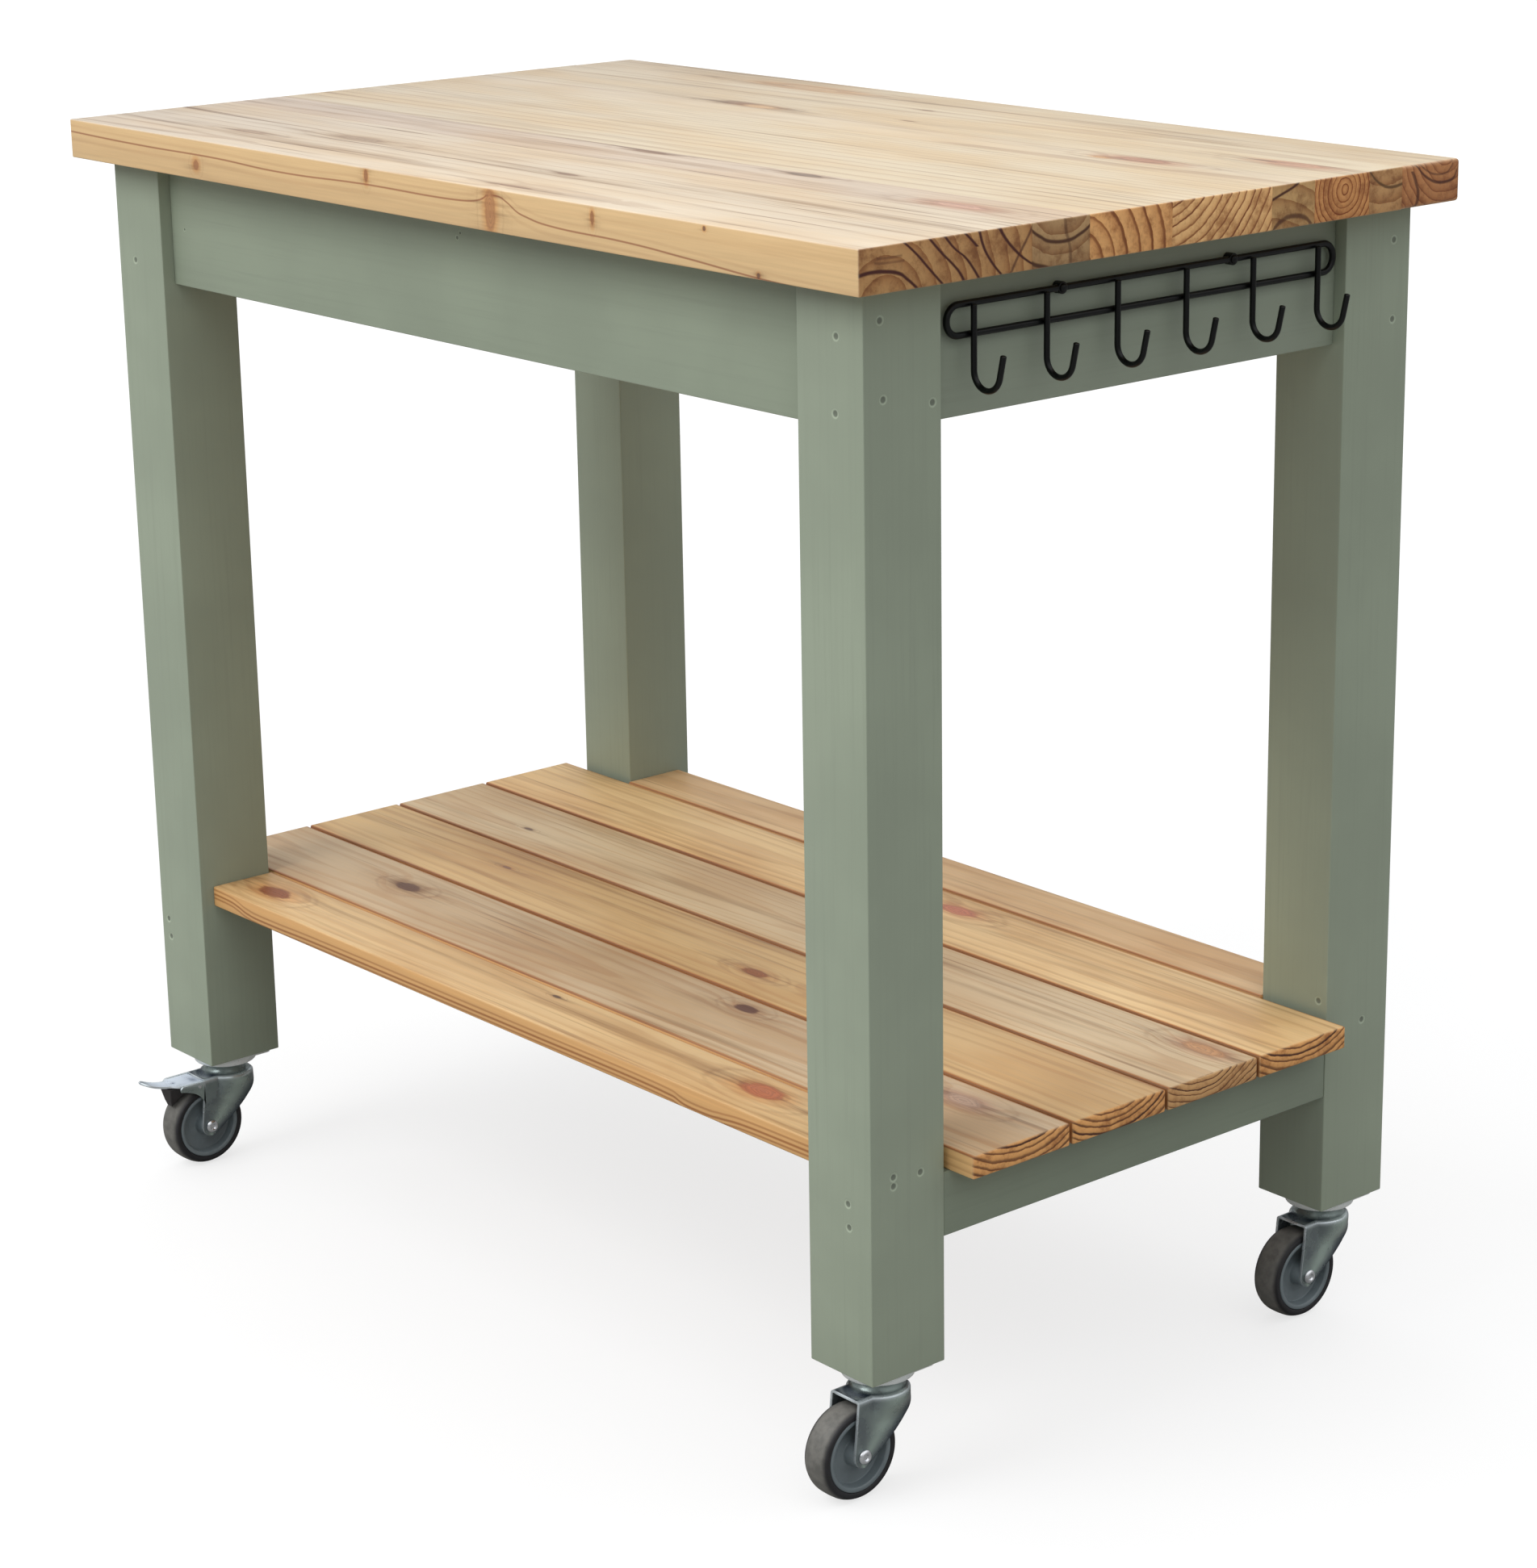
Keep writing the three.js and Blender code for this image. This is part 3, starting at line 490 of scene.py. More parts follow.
def pine(name, tones, pith, ring_width, first_ring=0, late_share=0.2, waviness=6, unevenness=0.6, line=0.5,
         streaks=0.3, lines=0.5, knots=(), firm=0.5, wobble=0.8, roughness=0.42, coat=0.25, routes=(),
         end_routes=(), end_rings=1.0, seams=(), cloud_tint=(250, 238, 220), left_painted_shade=None):
    """Oiled pine. Pith is the (y, z) of the tree's centre in mm, its drift in y and z over a metre of X, and
    the bow of its z. Tones are the wood and its line on the top, on the other long faces and on the cut ends.
    Routes are growth lines drawn on the front face and the cut ends, and seams the places in y of seams
    to a neighbour, beside which painted shade darkens the top. The left painted shade is painted shade on the
    top, darker towards -X: its share there, the x where it starts to go and is gone, and its colour."""
    def build(place):
        y0, z0, drift_y, drift_z, bow_z = (value * MM for value in pith)
        x, y, z = separated(place)
        point = combined(place.tree, x, y - (x * drift_y + y0), z - (x * x * bow_z + (x * drift_z + z0)))
        sideways = combined(place.tree, x, z, y)
        found = []
        for side, (across, up), radius, stretch, push, core, halo in knots:
            outputs = use(KNOT, Point=place if side == "up" else sideways, Centre=(across * MM, up * MM, 0),
                          Radius=radius * MM, Stretch=stretch, Push=push * MM, Wobble=wobble)
            found.append((side, outputs, core, halo))
        swell = sum((outputs["Swell"] for _, outputs, _, _ in found), 0.0)
        rings = use(RINGS, Point=point, Ring_Width=ring_width * MM, First_Ring=first_ring * MM,
                    Late_Share=late_share, Waviness=waviness * MM, Unevenness=unevenness, Swell=swell)
        fibres = use(FIBRES, Point=vectors("ADD", place, combined(place.tree, 0.0, swell * 0.6, 0.0)))
        cut, top = mask(place, "cut"), mask(place, "top")
        under = 1.0 - (cut + top)
        figure = rings["Tone"] * 0.25 + rings["Line"] * 0.8
        flat = mixed(figure * line, srgb(tones["top"]), srgb(tones["top_line"]))
        flat = darker(fibres["Streak"] * streaks, flat, (190, 172, 152))
        flat = darker(fibres["Lines"] * lines, flat, (160, 136, 116))
        flat = darker(fibres["Cloud"] * 0.8, flat, cloud_tint)
        # painted shade on the top, stronger towards -X
        if left_painted_shade:
            share, start, gone, tint = left_painted_shade
            flat = darker(ramped(x, start, gone, share, 0.0), flat, tint)
        line_share = line * (0.12 if routes else 0.8)
        long_side = mixed(figure * line_share, srgb(tones["side"]), srgb(tones["side_line"]))
        long_side = darker(fibres["Streak"] * 0.25, long_side, (215, 190, 165))
        for route, width, strength in routes:
            long_side = mixed(drawn_line(x, z, route, width) * strength, long_side, srgb(tones["side_line"]))
        end = darker(rings["Tone"] * 0.8, srgb(tones["end"]), (196, 160, 124))
        end = darker(ramped(noise(place, 75.0, 5.0, 0.7), 0.42, 0.72, 0.0, 0.8), end, (176, 146, 118))
        end = mixed(rings["Line"] * end_rings, end, srgb(tones["end_line"]))
        for over, route, width, strength in end_routes:
            drawn = drawn_line(y, z, route, width) if over == "y" else drawn_line(z, y, route, width)
            end = mixed(drawn * strength, end, srgb(tones["end_line"]))
        colour = mixed(cut, mixed(under, flat, long_side), end)
        colour = mixed(1.0, colour, ramped(fibres["Fine"], 0.2, 0.8, 0.92, 1.05), "MULTIPLY")
        for side, outputs, core, halo in found:
            seen, strength = (1.0 - cut, firm) if side == "up" else (under, 0.8)
            colour = darker(outputs["Halo"] * (seen * 0.7), colour, halo)
            colour = darker(outputs["Tails"] * (seen * 0.8), colour, (150, 124, 104))
            colour = darker(outputs["Passing"] * (seen * firm), colour, (176, 140, 108))
            inside = mixed(outputs["Rings"], srgb(core), srgb(core, 0.86))
            colour = mixed(outputs["Core"] * (seen * strength), colour, inside)
        # painted shade on the top beside each seam to a neighbouring board
        for seam in seams:
            away = maths("ABSOLUTE", y - seam * MM)
            for near, far, tint in SEAM_PAINTED_SHADE_TINTS:
                colour = darker(ramped(away, near * MM, far * MM, 1.0, 0.0) * top, colour, tint)
        rough = ramped(fibres["Fine"], 0.2, 0.8, roughness - 0.06, roughness + 0.1) + cut * 0.2
        return {"Base Color": colour, "Roughness": rough, "Coat Weight": (1.0 - cut) * coat,
                "Normal": bumped(rings["Line"] * 0.6 + fibres["Fine"], 0.35, 0.12)}
    return material(name, build, Coat_Roughness=0.3)


def painted(name, colour, along):
    """Satin paint brushed on timber. The grain shows through as shallow lines along the piece, and the turned
    edges are a little lighter. A filled screw hole has a lighter ring, a painted highlight on the dent's rim,
    and a darker core that is partly the filler's own greyer tone and partly painted shade in the dent."""
    scale = tuple(6.0 if axis == along else 260.0 for axis in range(3))

    def build(place):
        brushed = noise(stretched(place, scale), 1.0, 3.0, 0.6)
        cloud = noise(place, 9.0, 3.0)
        filler = mask(place, "filler")
        tone = mixed(ramped(cloud, 0.3, 0.7), srgb(colour, 0.955), srgb(colour))
        tone = mixed(ramped(brushed, 0.45, 0.8, 0.0, 0.5), tone, srgb(colour, 0.93))
        tone = mixed(mask(place, "edge") * 0.35, tone, srgb(colour, 1.13))
        # painted highlight: a lighter ring on the rim of each filled screw hole's dent
        rim = ramped(filler, 0.02, 0.15) * ramped(filler, 0.5, 0.3)
        tone = mixed(rim * 0.5, tone, srgb(colour, 1.2))
        # a darker core in each dent: partly the filler's greyer tone, partly painted shade
        tone = mixed(ramped(filler, 0.35, 0.7, 0.0, 0.75), tone, srgb(colour, 0.6))
        return {"Base Color": tone, "Roughness": ramped(cloud, 0.3, 0.7, 0.42, 0.52),
                "Normal": bumped(brushed, 0.28, 0.25)}
    return material(name, build)


def zinc(name, pale, dark, low, high, metallic):
    """Zinc plate: its tone runs from dark to pale by the piece's band mask, a painted reflection, clouded by
    slow noise. Edges are bright by its rim mask, a painted highlight, and hollows and faces that turn away
    are dark and bluish by its deep mask, painted shade and dark reflection."""
    def build(place):
        cloud = ramped(noise(place, 55.0, 3.0, 0.6), 0.3, 0.7)
        # painted reflection: the band mask moves the tone towards the pale colour
        tone = mixed(cloud * 0.3 + mask(place, "band") * 0.8, srgb(dark), srgb(pale))
        # painted shade and dark reflection by the deep mask
        tone = darker(mask(place, "deep"), tone, (92, 104, 128))
        # painted highlight on the edges by the rim mask
        tone = mixed(mask(place, "rim") * 0.75, tone, srgb((214, 222, 226)))
        return {"Base Color": tone, "Roughness": ramped(cloud, 0.0, 1.0, low, high),
                "Normal": bumped(noise(place, 900.0), 0.08, 0.05)}
    return material(name, build, Metallic=metallic)


def moulded(name, pale, dark, roughness):
    """Moulded rubber or plastic with a fine texture and faint handling marks."""
    def build(place):
        cloud = noise(place, 40.0, 3.0)
        return {"Base Color": mixed(ramped(cloud, 0.3, 0.7), srgb(dark), srgb(pale)),
                "Roughness": ramped(cloud, 0.3, 0.7, roughness - 0.06, roughness + 0.06),
                "Normal": bumped(noise(place, 700.0), 0.2, 0.08)}
    return material(name, build)


def tyre_rubber(place):
    """Grey rubber: dark sidewalls, and a paler tread, clouded round the wheel."""
    cloud = noise(place, 120.0, 3.0, 0.6)
    tread_tone = mixed(ramped(cloud, 0.3, 0.7), srgb((91, 90, 86)), srgb((112, 110, 105)))
    wall = mixed(ramped(cloud, 0.3, 0.7), srgb((20, 19, 22)), srgb((30, 29, 33)))
    return {"Base Color": mixed(mask(place, "tread"), wall, tread_tone),
            "Roughness": ramped(cloud, 0.3, 0.7, 0.55, 0.7),
            "Normal": bumped(noise(place, 900.0), 0.25, 0.08)}


def powder_coat(place):
    """Black powder coat: nearly smooth, with the faint orange peel of baked powder."""
    peel = noise(place, 420.0)
    return {"Base Color": mixed(ramped(peel, 0.3, 0.7), srgb((3, 4, 5)), srgb((6, 8, 8))),
            "Roughness": ramped(peel, 0.3, 0.7, 0.28, 0.38), "Normal": bumped(peel, 0.3, 0.1)}


sage_leg = painted("sage_paint_leg", (149, 159, 140), 2)
# The aprons and rails get darker copies of the legs' sage paint: painted shade under the worktop's and the
# shelf's overhangs.
sage_long_apron_painted_shade = painted("sage_paint_long_apron_painted_shade", (142, 152, 133), 0)
sage_end_apron_painted_shade = painted("sage_paint_end_apron_painted_shade", (143, 152, 135), 1)
sage_rail_painted_shade = painted("sage_paint_rail_painted_shade", (130, 140, 122), 1)
zinc_fork = zinc("zinc_fork", (170, 186, 178), (104, 112, 116), 0.24, 0.34, 0.6)
# The pedal's copy of the zinc is paler and less metallic than the fork's: painted light, so its top reads as
# lit.
zinc_pedal_painted_light = zinc("zinc_pedal_painted_light", (214, 224, 238), (120, 132, 146), 0.25, 0.35, 0.35)
# The race's and plate's copy of the zinc is near white and barely metallic: painted light, so they read as
# lit in the leg's shade.
zinc_race_painted_light = zinc("zinc_race_painted_light", (240, 240, 232), (226, 230, 230), 0.25, 0.35, 0.15)
bright_steel = zinc("bright_steel", (225, 226, 228), (206, 208, 212), 0.16, 0.26, 0.9)
tyre_grey = material("tyre_rubber", tyre_rubber)
hub_grey = moulded("hub_nylon", (116, 126, 130), (100, 110, 114), 0.38)
pad_brown = moulded("pad_rubber", (50, 46, 46), (40, 37, 38), 0.6)
black_wire = material("black_powder_coat", powder_coat, Specular_IOR_Level=0.25)


# ---------- worktop ----------
WORKTOP_EASE, FAR_CORNER_EASE = 1.2 * MM, 3 * MM
BROWN, DARK, PINK = (128, 88, 64), (98, 68, 54), (200, 146, 116)
WARM, GREY, ROSE, PALE = (244, 208, 168), (208, 192, 178), (240, 206, 194), (224, 212, 200)
# painted shade on the worktop's top, darker towards -X
WORKTOP_LEFT_PAINTED_SHADE = 0.8, -0.5, 0.15, (232, 234, 242)


def worktop_tones(end, end_line, top=(212, 195, 170)):
    return dict(top=top, top_line=(168, 140, 112), side=(214, 180, 131), side_line=(140, 76, 44), end=end,
                end_line=end_line)


def beside(route, step):
    """The same growth line again, one step further across."""
    return [(along, across + step) for along, across in route]


FRONT_LINE = [(-500, 921), (-381, 919), (-283, 919), (-179, 916.6), (-68, 918.5), (47, 918.4), (84, 922),
              (99, 926.5), (112, 924), (136, 915), (184, 910.3), (240, 909.4), (321, 905.3), (398, 900.3),
              (500, 896)]
FRONT_ROUTES = [(FRONT_LINE, 1.1, 0.75), (beside(FRONT_LINE, 5), 1.6, 0.12),
                (beside(FRONT_LINE, -6), 2.2, 0.12)]
# growth lines on the cut end: whether the route runs over y or over z, its points, its width and its strength
END_1 = [
    ("y", [(-300, 913.4), (-289.7, 914.5), (-275.9, 913.6), (-265, 911.3), (-257.3, 906.5), (-250.3, 901),
           (-247, 898)], 2.2, 1),
    ("z", [(898, -224), (911.9, -238.4), (921.2, -247.8), (932, -261)], 2.1, 1),
    ("z", [(898, -205.5), (905, -209.8), (911.6, -216.2), (919.8, -225.7), (932, -238)], 2.2, 1),
    ("z", [(898, -191.5), (905.9, -197), (915, -205), (922, -214.6), (932, -224)], 2, 1),
    ("z", [(921, -193.8), (924.8, -197.8), (932, -206)], 2.2, 1),
    ("z", [(898, -170), (911.3, -182.5), (920.2, -188.1), (932, -192)], 2, 1),
    ("z", [(898, -126), (902.1, -139.9), (907.5, -149.8), (915.2, -159.7), (922.5, -167), (932, -174)],
     2.5, 1),
    ("z", [(898, -163.5), (907.2, -158), (916, -151.5), (926.5, -144.1), (932, -141)], 2, 0.7),
    ("y", [(-284, 923.4), (-275, 922.6), (-262, 922.8)], 1.3, 0.4),
    ("y", [(-286, 920.2), (-276, 919.4), (-260, 919.2)], 1.3, 0.4)]
END_2 = [
    ("y", [(-144, 926.5), (-135, 920.7), (-123.4, 916.2), (-110.1, 915.5), (-98.3, 918.4), (-87, 924.5)],
     2.1, 1),
    ("y", [(-144, 904.2), (-139.9, 902.1), (-130, 899.4), (-126, 898)], 2.5, 1),
    ("z", [(898, -106.4), (907.3, -106.6), (915.9, -108.7), (923.4, -111), (932, -112)], 2.1, 0.55)]
END_5 = [
    ("y", [(94, 921), (105, 924.5), (117.3, 928.5), (124, 932)], 1.7, 1),
    ("y", [(96, 898), (98.7, 901.6), (106, 905.5), (113.1, 907.4), (120, 907.3), (127.8, 905.8),
           (135.4, 900.8), (138, 898)], 2.8, 0.8)]
END_7 = [
    ("y", [(198, 932), (201.6, 928.2), (206, 924), (212, 920.4), (218, 918), (224.9, 917.3), (236, 918.8)],
     1.8, 0.85)]
END_8 = [
    ("y", [(246, 934), (249.8, 931), (258, 923.3), (266, 918.5), (274, 915.7), (283, 915), (291, 916.3),
           (295.5, 921), (297.5, 929)], 1.8, 0.85),
    ("z", [(900, 247.5), (908.4, 253), (917.2, 250.5), (926, 246)], 2.5, 0.8),
    ("y", [(254, 932), (262, 925.5), (272, 921.8), (282, 921.4), (289, 925), (292, 932)], 1.3, 0.6)]
# a knot: the face it shows on, its centre along that face, radius, stretch, push, core, halo
WORKTOP_BOARDS = [
    dict(tones=worktop_tones((190, 144, 91), (68, 18, 4)), pith=(-278, 901.5, 0, -24, -4), ring_width=13,
         first_ring=10.6, waviness=5, unevenness=0.25, streaks=0.9, lines=1.0, routes=FRONT_ROUTES,
         end_routes=END_1, end_rings=0.12, knots=[
             ("up", (100, -281), 3, 7, 5, BROWN, GREY),
             ("up", (77, -215), 3, 4, 5, BROWN, GREY),
             ("up", (-208, -205), 7, 4, 9, (170, 144, 118), PALE),
             ("up", (-314, -241), 5, 4, 5, (160, 132, 108), PALE),
             ("front", (94, 915), 15, 0.4, 1.5, (176, 122, 78), WARM),
             ("front", (-305, 911), 4, 1, 1.5, (160, 106, 68), WARM),
             ("front", (-64, 925), 5, 0.5, 1, (150, 98, 62), WARM),
             ("front", (216, 922), 5, 0.4, 1, (150, 98, 62), WARM),
             ("front", (341, 928), 1.6, 1, 0, DARK, WARM),
             ("front", (398, 902), 1.8, 1, 0, DARK, WARM)]),
    dict(tones=worktop_tones((178, 142, 97), (78, 42, 14), (206, 187, 165)), pith=(-115, 949, 0, 6, 0),
         ring_width=13, first_ring=7, waviness=6, unevenness=0.3, streaks=0.9, lines=0.9, end_routes=END_2,
         end_rings=0.12, knots=[
             ("up", (406, -123), 8, 3.4, 8, (216, 170, 148), ROSE),
             ("up", (26, -95), 4, 5, 5, BROWN, GREY),
             ("up", (210, -96), 5, 3.6, 7, (66, 40, 28), GREY)]),
    dict(tones=worktop_tones((232, 174, 110), (128, 70, 24), (214, 197, 167)), pith=(-100, 888, 0, 12, 0),
         ring_width=12, first_ring=3, late_share=0.26, streaks=0.4,
         knots=[("up", (-59, 4), 2, 5, 3, BROWN, GREY)]),
    dict(tones=worktop_tones((240, 190, 128), (122, 64, 24), (214, 197, 167)), pith=(-24, 980, 0, 6, 0),
         ring_width=7, first_ring=2, late_share=0.26, streaks=0.35),
    dict(tones=worktop_tones((196, 156, 102), (76, 34, 6), (213, 195, 166)), pith=(96, 852, 0, 10, 0),
         ring_width=13, waviness=16, streaks=0.5, end_routes=END_5, end_rings=0.15, knots=[
             ("up", (336, 130), 7.5, 3.8, 9, (172, 110, 84), ROSE),
             ("up", (301, 121), 3.2, 2.4, 2, (206, 158, 104), WARM),
             ("up", (369, 144), 3.2, 3.2, 2, (206, 158, 104), WARM)]),
    dict(tones=worktop_tones((212, 150, 90), (126, 58, 12), (212, 194, 163)), pith=(172, 919, 0, 3, 0),
         ring_width=4.6, first_ring=1, late_share=0.26, waviness=9, streaks=0.5, knots=[
             ("up", (-160, 150), 7, 3.2, 8, BROWN, GREY),
             ("up", (-132, 148), 6, 3.4, 4, (238, 198, 150), WARM),
             ("up", (33, 167), 1.5, 4, 2, BROWN, GREY),
             ("up", (436, 190), 9, 3.2, 6, PINK, ROSE)]),
    dict(tones=worktop_tones((196, 150, 98), (84, 54, 20), (212, 195, 165)), pith=(217, 956, 0, 4, 0),
         ring_width=12, first_ring=4, streaks=0.5, end_routes=END_7, end_rings=0.15,
         knots=[("up", (-6, 224), 2, 3, 2, BROWN, GREY)]),
    dict(tones=worktop_tones((190, 130, 80), (72, 28, 8), (210, 192, 162)), pith=(284, 938, 0, 3, 0),
         ring_width=6.5, waviness=9, streaks=0.8, end_routes=END_8, end_rings=0.3, knots=[
             ("up", (-198, 262), 8, 6, 4, (206, 178, 142), WARM)]),
]
for number, board in enumerate(WORKTOP_BOARDS, 1):
    node_name = f"worktop_board_{number}"
    glued = [(1, -1)] * (number > 1) + [(1, 1)] * (number < len(WORKTOP_BOARDS))
    ease = FAR_CORNER_EASE if number == len(WORKTOP_BOARDS) else WORKTOP_EASE
    finish = pine(f"worktop_pine_{number}", left_painted_shade=WORKTOP_LEFT_PAINTED_SHADE, **board)
    piece(f"worktop_plank_{number}", timber(*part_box(node_name), ease, glued), finish, "frame", [node_name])


# ---------- shelf ----------
SHELF_EASE = 1.6 * MM
# the shelf's tint towards -X is painted shade: it darkens the top up to its +X end
SHELF_WOOD = dict(waviness=12, late_share=0.48, line=0.42, streaks=0.7, firm=0.9, wobble=0.9, roughness=0.5,
                  coat=0.08, cloud_tint=(232, 216, 196), left_painted_shade=(0.8, 0.05, 0.42, (238, 236, 230)))


# The darker default side colour is painted shade on the long sides that face into the gaps between boards.
def shelf_tones(top, end=(228, 168, 102), side=(150, 100, 58)):
    return dict(top=top, top_line=(176, 126, 76), side=side, side_line=(150, 92, 44), end=end,
                end_line=(62, 28, 14))


SHELF_LINE = [(-407, 259.5), (-385, 259), (-368, 257), (-350, 253.5), (-330, 252.5), (-250, 253.5),
              (-100, 254), (60, 254.5), (180, 255), (235, 254), (262, 250.5), (290, 252), (330, 255),
              (407, 256)]
SHELF_ROUTES = [(SHELF_LINE, 1.5, 0.85), (beside(SHELF_LINE, -3.6), 1.3, 0.7),
                (beside(SHELF_LINE, 4.2), 1.4, 0.55)]
SHELF_BOARDS = [
    dict(tones=shelf_tones((218, 184, 134), side=(210, 162, 104)), pith=(-222, 326, 0, 8, 0), ring_width=5.5,
         line=0.4, left_painted_shade=None, routes=SHELF_ROUTES, knots=[
             ("up", (-355, -232), 9, 2.2, -9, (134, 66, 30), WARM),
             ("up", (298, -226), 10, 2.2, -9, (184, 102, 64), WARM),
             ("up", (26, -213), 2, 2.4, 2, DARK, GREY)]),
    dict(tones=shelf_tones((207, 181, 147), side=(222, 178, 120)), pith=(-150, 340, 0, 12, 0), ring_width=5.2,
         knots=[
             ("up", (-288, -137), 7.5, 1.9, 8, (92, 52, 28), (214, 196, 172)),
             ("up", (151, -119), 6, 2.0, 9, (82, 30, 8), (232, 206, 184)),
             ("up", (414, -128), 8, 2.4, 9, (186, 152, 128), (225, 198, 204))]),
    dict(tones=shelf_tones((214, 179, 127)), pith=(-56, 336, 0, -10, 0), ring_width=5.2, knots=[
             ("up", (90, -59), 5.5, 2.8, 10, (140, 76, 34), (232, 206, 184)),
             ("up", (-273, -41), 2, 3, 3, BROWN, WARM)]),
    dict(tones=shelf_tones((213, 188, 151), (206, 160, 106)), pith=(40, 326, 0, 10, 0), ring_width=4.6,
         late_share=0.3, knots=[
             ("up", (459, 81), 8, 2.6, 11, (202, 148, 100), ROSE),
             ("up", (-352, 42), 2, 3, 3, DARK, GREY)]),
    dict(tones=shelf_tones((236, 202, 149)), pith=(150, 336, 0, 8, 0), ring_width=5.2, knots=[
             ("up", (86, 170), 8, 2.6, 10, (190, 112, 84), ROSE)]),
    dict(tones=shelf_tones((222, 187, 141), side=(210, 162, 104)), pith=(232, 330, 0, -8, 0), ring_width=5.5),
]
for number, board in enumerate(SHELF_BOARDS, 1):
    node_name = f"shelf_board_{number}"
    low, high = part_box(node_name)
    seams = [low.y / MM] * (number > 1) + [high.y / MM] * (number < len(SHELF_BOARDS))
    finish = pine(f"shelf_pine_{number}", seams=seams, **{**SHELF_WOOD, **board})
    piece(f"shelf_plank_{number}", timber(low, high, SHELF_EASE), finish, "frame", [node_name])


# ---------- painted frame ----------
PAINT_EASE = 1.0 * MM
LEG_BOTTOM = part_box("leg_front_right")[0].z
FRONT, RIGHT = (1, -1), (0, 1)


def hole(face, across, up, radius=4.2, depth=0.8):
    """A filled screw hole on a face of a leg or apron: its place across and up from the leg's end, in mm."""
    return *face, np.array([across * MM, LEG_BOTTOM + up * MM]), radius * MM, depth * MM


HOLES = {
    "leg_front_right": [
        hole(FRONT, 447.5, 764), hole(FRONT, 446, 711), hole(FRONT, 450, 136), hole(FRONT, 451, 118),
        hole(RIGHT, -259.5, 776), hole(RIGHT, -257, 722), hole(RIGHT, -212, 714), hole(RIGHT, -253, 158),
        hole(RIGHT, -253, 151), hole(RIGHT, -227, 155)],
    "leg_front_left": [hole(FRONT, -464.5, 125), hole(FRONT, -462, 109), hole(FRONT, -450, 715)],
    "apron_front": [hole(FRONT, 1, 781, 2.6, 0.5), hole(FRONT, 5, 785, 2, 0.5),
                    hole(FRONT, -387, 746, 2, 0.4)],
    "leg_back_right": [
        hole(RIGHT, 257, 772), hole(RIGHT, 257.6, 712), hole(RIGHT, 246, 153.4), hole(FRONT, 466, 177)],
}
PAINTED = {"leg": sage_leg, "lower": sage_rail_painted_shade, "apron_front": sage_long_apron_painted_shade, "apron_back": sage_long_apron_painted_shade,
           "apron_left": sage_end_apron_painted_shade, "apron_right": sage_end_apron_painted_shade}
for name in frame["nodes"]:
    finish = PAINTED.get(name) or PAINTED.get(name.split("_")[0])
    if finish:
        shape = timber(*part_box(name), PAINT_EASE, dents=HOLES.get(name, ()))
        piece(f"painted_{name}", shape, finish, "frame", [name])


# ---------- hook rack ----------
LOOP_WIRE, HOOK_WIRE = 5.0 * MM, 4.5 * MM
LUG_RADIUS, LUG_EASE = 4.5 * MM, 0.8 * MM
HOOK_DROP, HOOK_BEND, HOOK_TIP, HOOK_LEAN = 45.8 * MM, 13 * MM, 17 * MM, 347
HEAD_RADIUS, SHANK_RADIUS, SHANK_LENGTH = 3.3 * MM, 1.7 * MM, 4 * MM
SCREW_SIDES = 32


def arc(centre, radius, start, end, steps):
    angle = np.radians(np.linspace(start, end, steps + 1))
    return np.c_[centre[0] + radius * np.cos(angle), centre[1] + radius * np.sin(angle)]


def screw_place(number):
    """The middle (y, z) of one of the rack's screws."""
    low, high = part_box(f"rail_screw_{number}")
    return (low.y + high.y) / 2, (low.z + high.z) / 2


def rack_loop():
    """The loop's wire: two straight runs joined by half circles, closed on itself, with the screws' lugs."""
    low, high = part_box("hook_rail_loop")
    radius = LOOP_WIRE / 2
    top, bottom = screw_place(1)[1], low.z + radius
    turn = (top - bottom) / 2
    right = arc((high.y - radius - turn, top - turn), turn, 90, -90, 20)
    left = arc((low.y + radius + turn, top - turn), turn, 270, 90, 20)
    run = np.linspace(0, 1, 40)[1:-1, None]
    under, over = right[-1] + (left[0] - right[-1]) * run, left[-1] + (right[0] - left[-1]) * run
    route = np.vstack([right, under, left, over])
    along = np.roll(route, -1, 0) - np.roll(route, 1, 0)
    along /= np.linalg.norm(along, axis=1)[:, None]
    outward = np.c_[-along[:, 1], along[:, 0]]
    angle = np.arange(WIRE_SIDES) * TAU / WIRE_SIDES
    points = np.zeros((len(route), WIRE_SIDES, 3))
    points[..., 0] = high.x - radius + radius * np.sin(angle)
    points[..., 1:] = route[:, None] + outward[:, None] * (radius * np.cos(angle))[None, :, None]
    wire = points.reshape(-1, 3), grid_faces(len(route), WIRE_SIDES, True, True).tolist()
    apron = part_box("apron_right")[1].x
    long = high.x - apron
    profile = eased([(0, 0), (LUG_RADIUS, 0), (LUG_RADIUS, long), (0, long)], LUG_EASE, 3, False)
    lug, lug_faces = turned(profile, SCREW_SIDES)
    return joined(wire, *[(lug + [apron, *screw_place(number)], lug_faces) for number in (1, 2)])


def rack_hook(number):
    """One hook: an upright that starts behind the top wire and turns out and up round its bend to a straight
    tip."""
    low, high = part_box(f"rail_hook_{number}")
    x = low.x + HOOK_WIRE / 2
    curve = arc((x + HOOK_BEND, high.z - HOOK_DROP), HOOK_BEND, 180, HOOK_LEAN, 28)
    lean = math.radians(HOOK_LEAN)
    tip = curve[-1] + HOOK_TIP * np.array([-math.sin(lean), math.cos(lean)])
    run = np.linspace(0, 1, 14)[:, None]
    upright = np.array([x, high.z]) * (1 - run) + curve[0] * run
    route = np.vstack([upright, curve[1:], curve[-1] + (tip - curve[-1]) * run[1:]])
    y = np.full(len(route), (low.y + high.y) / 2)
    return swept(np.c_[route[:, 0], y, route[:, 1]], HOOK_WIRE / 2)


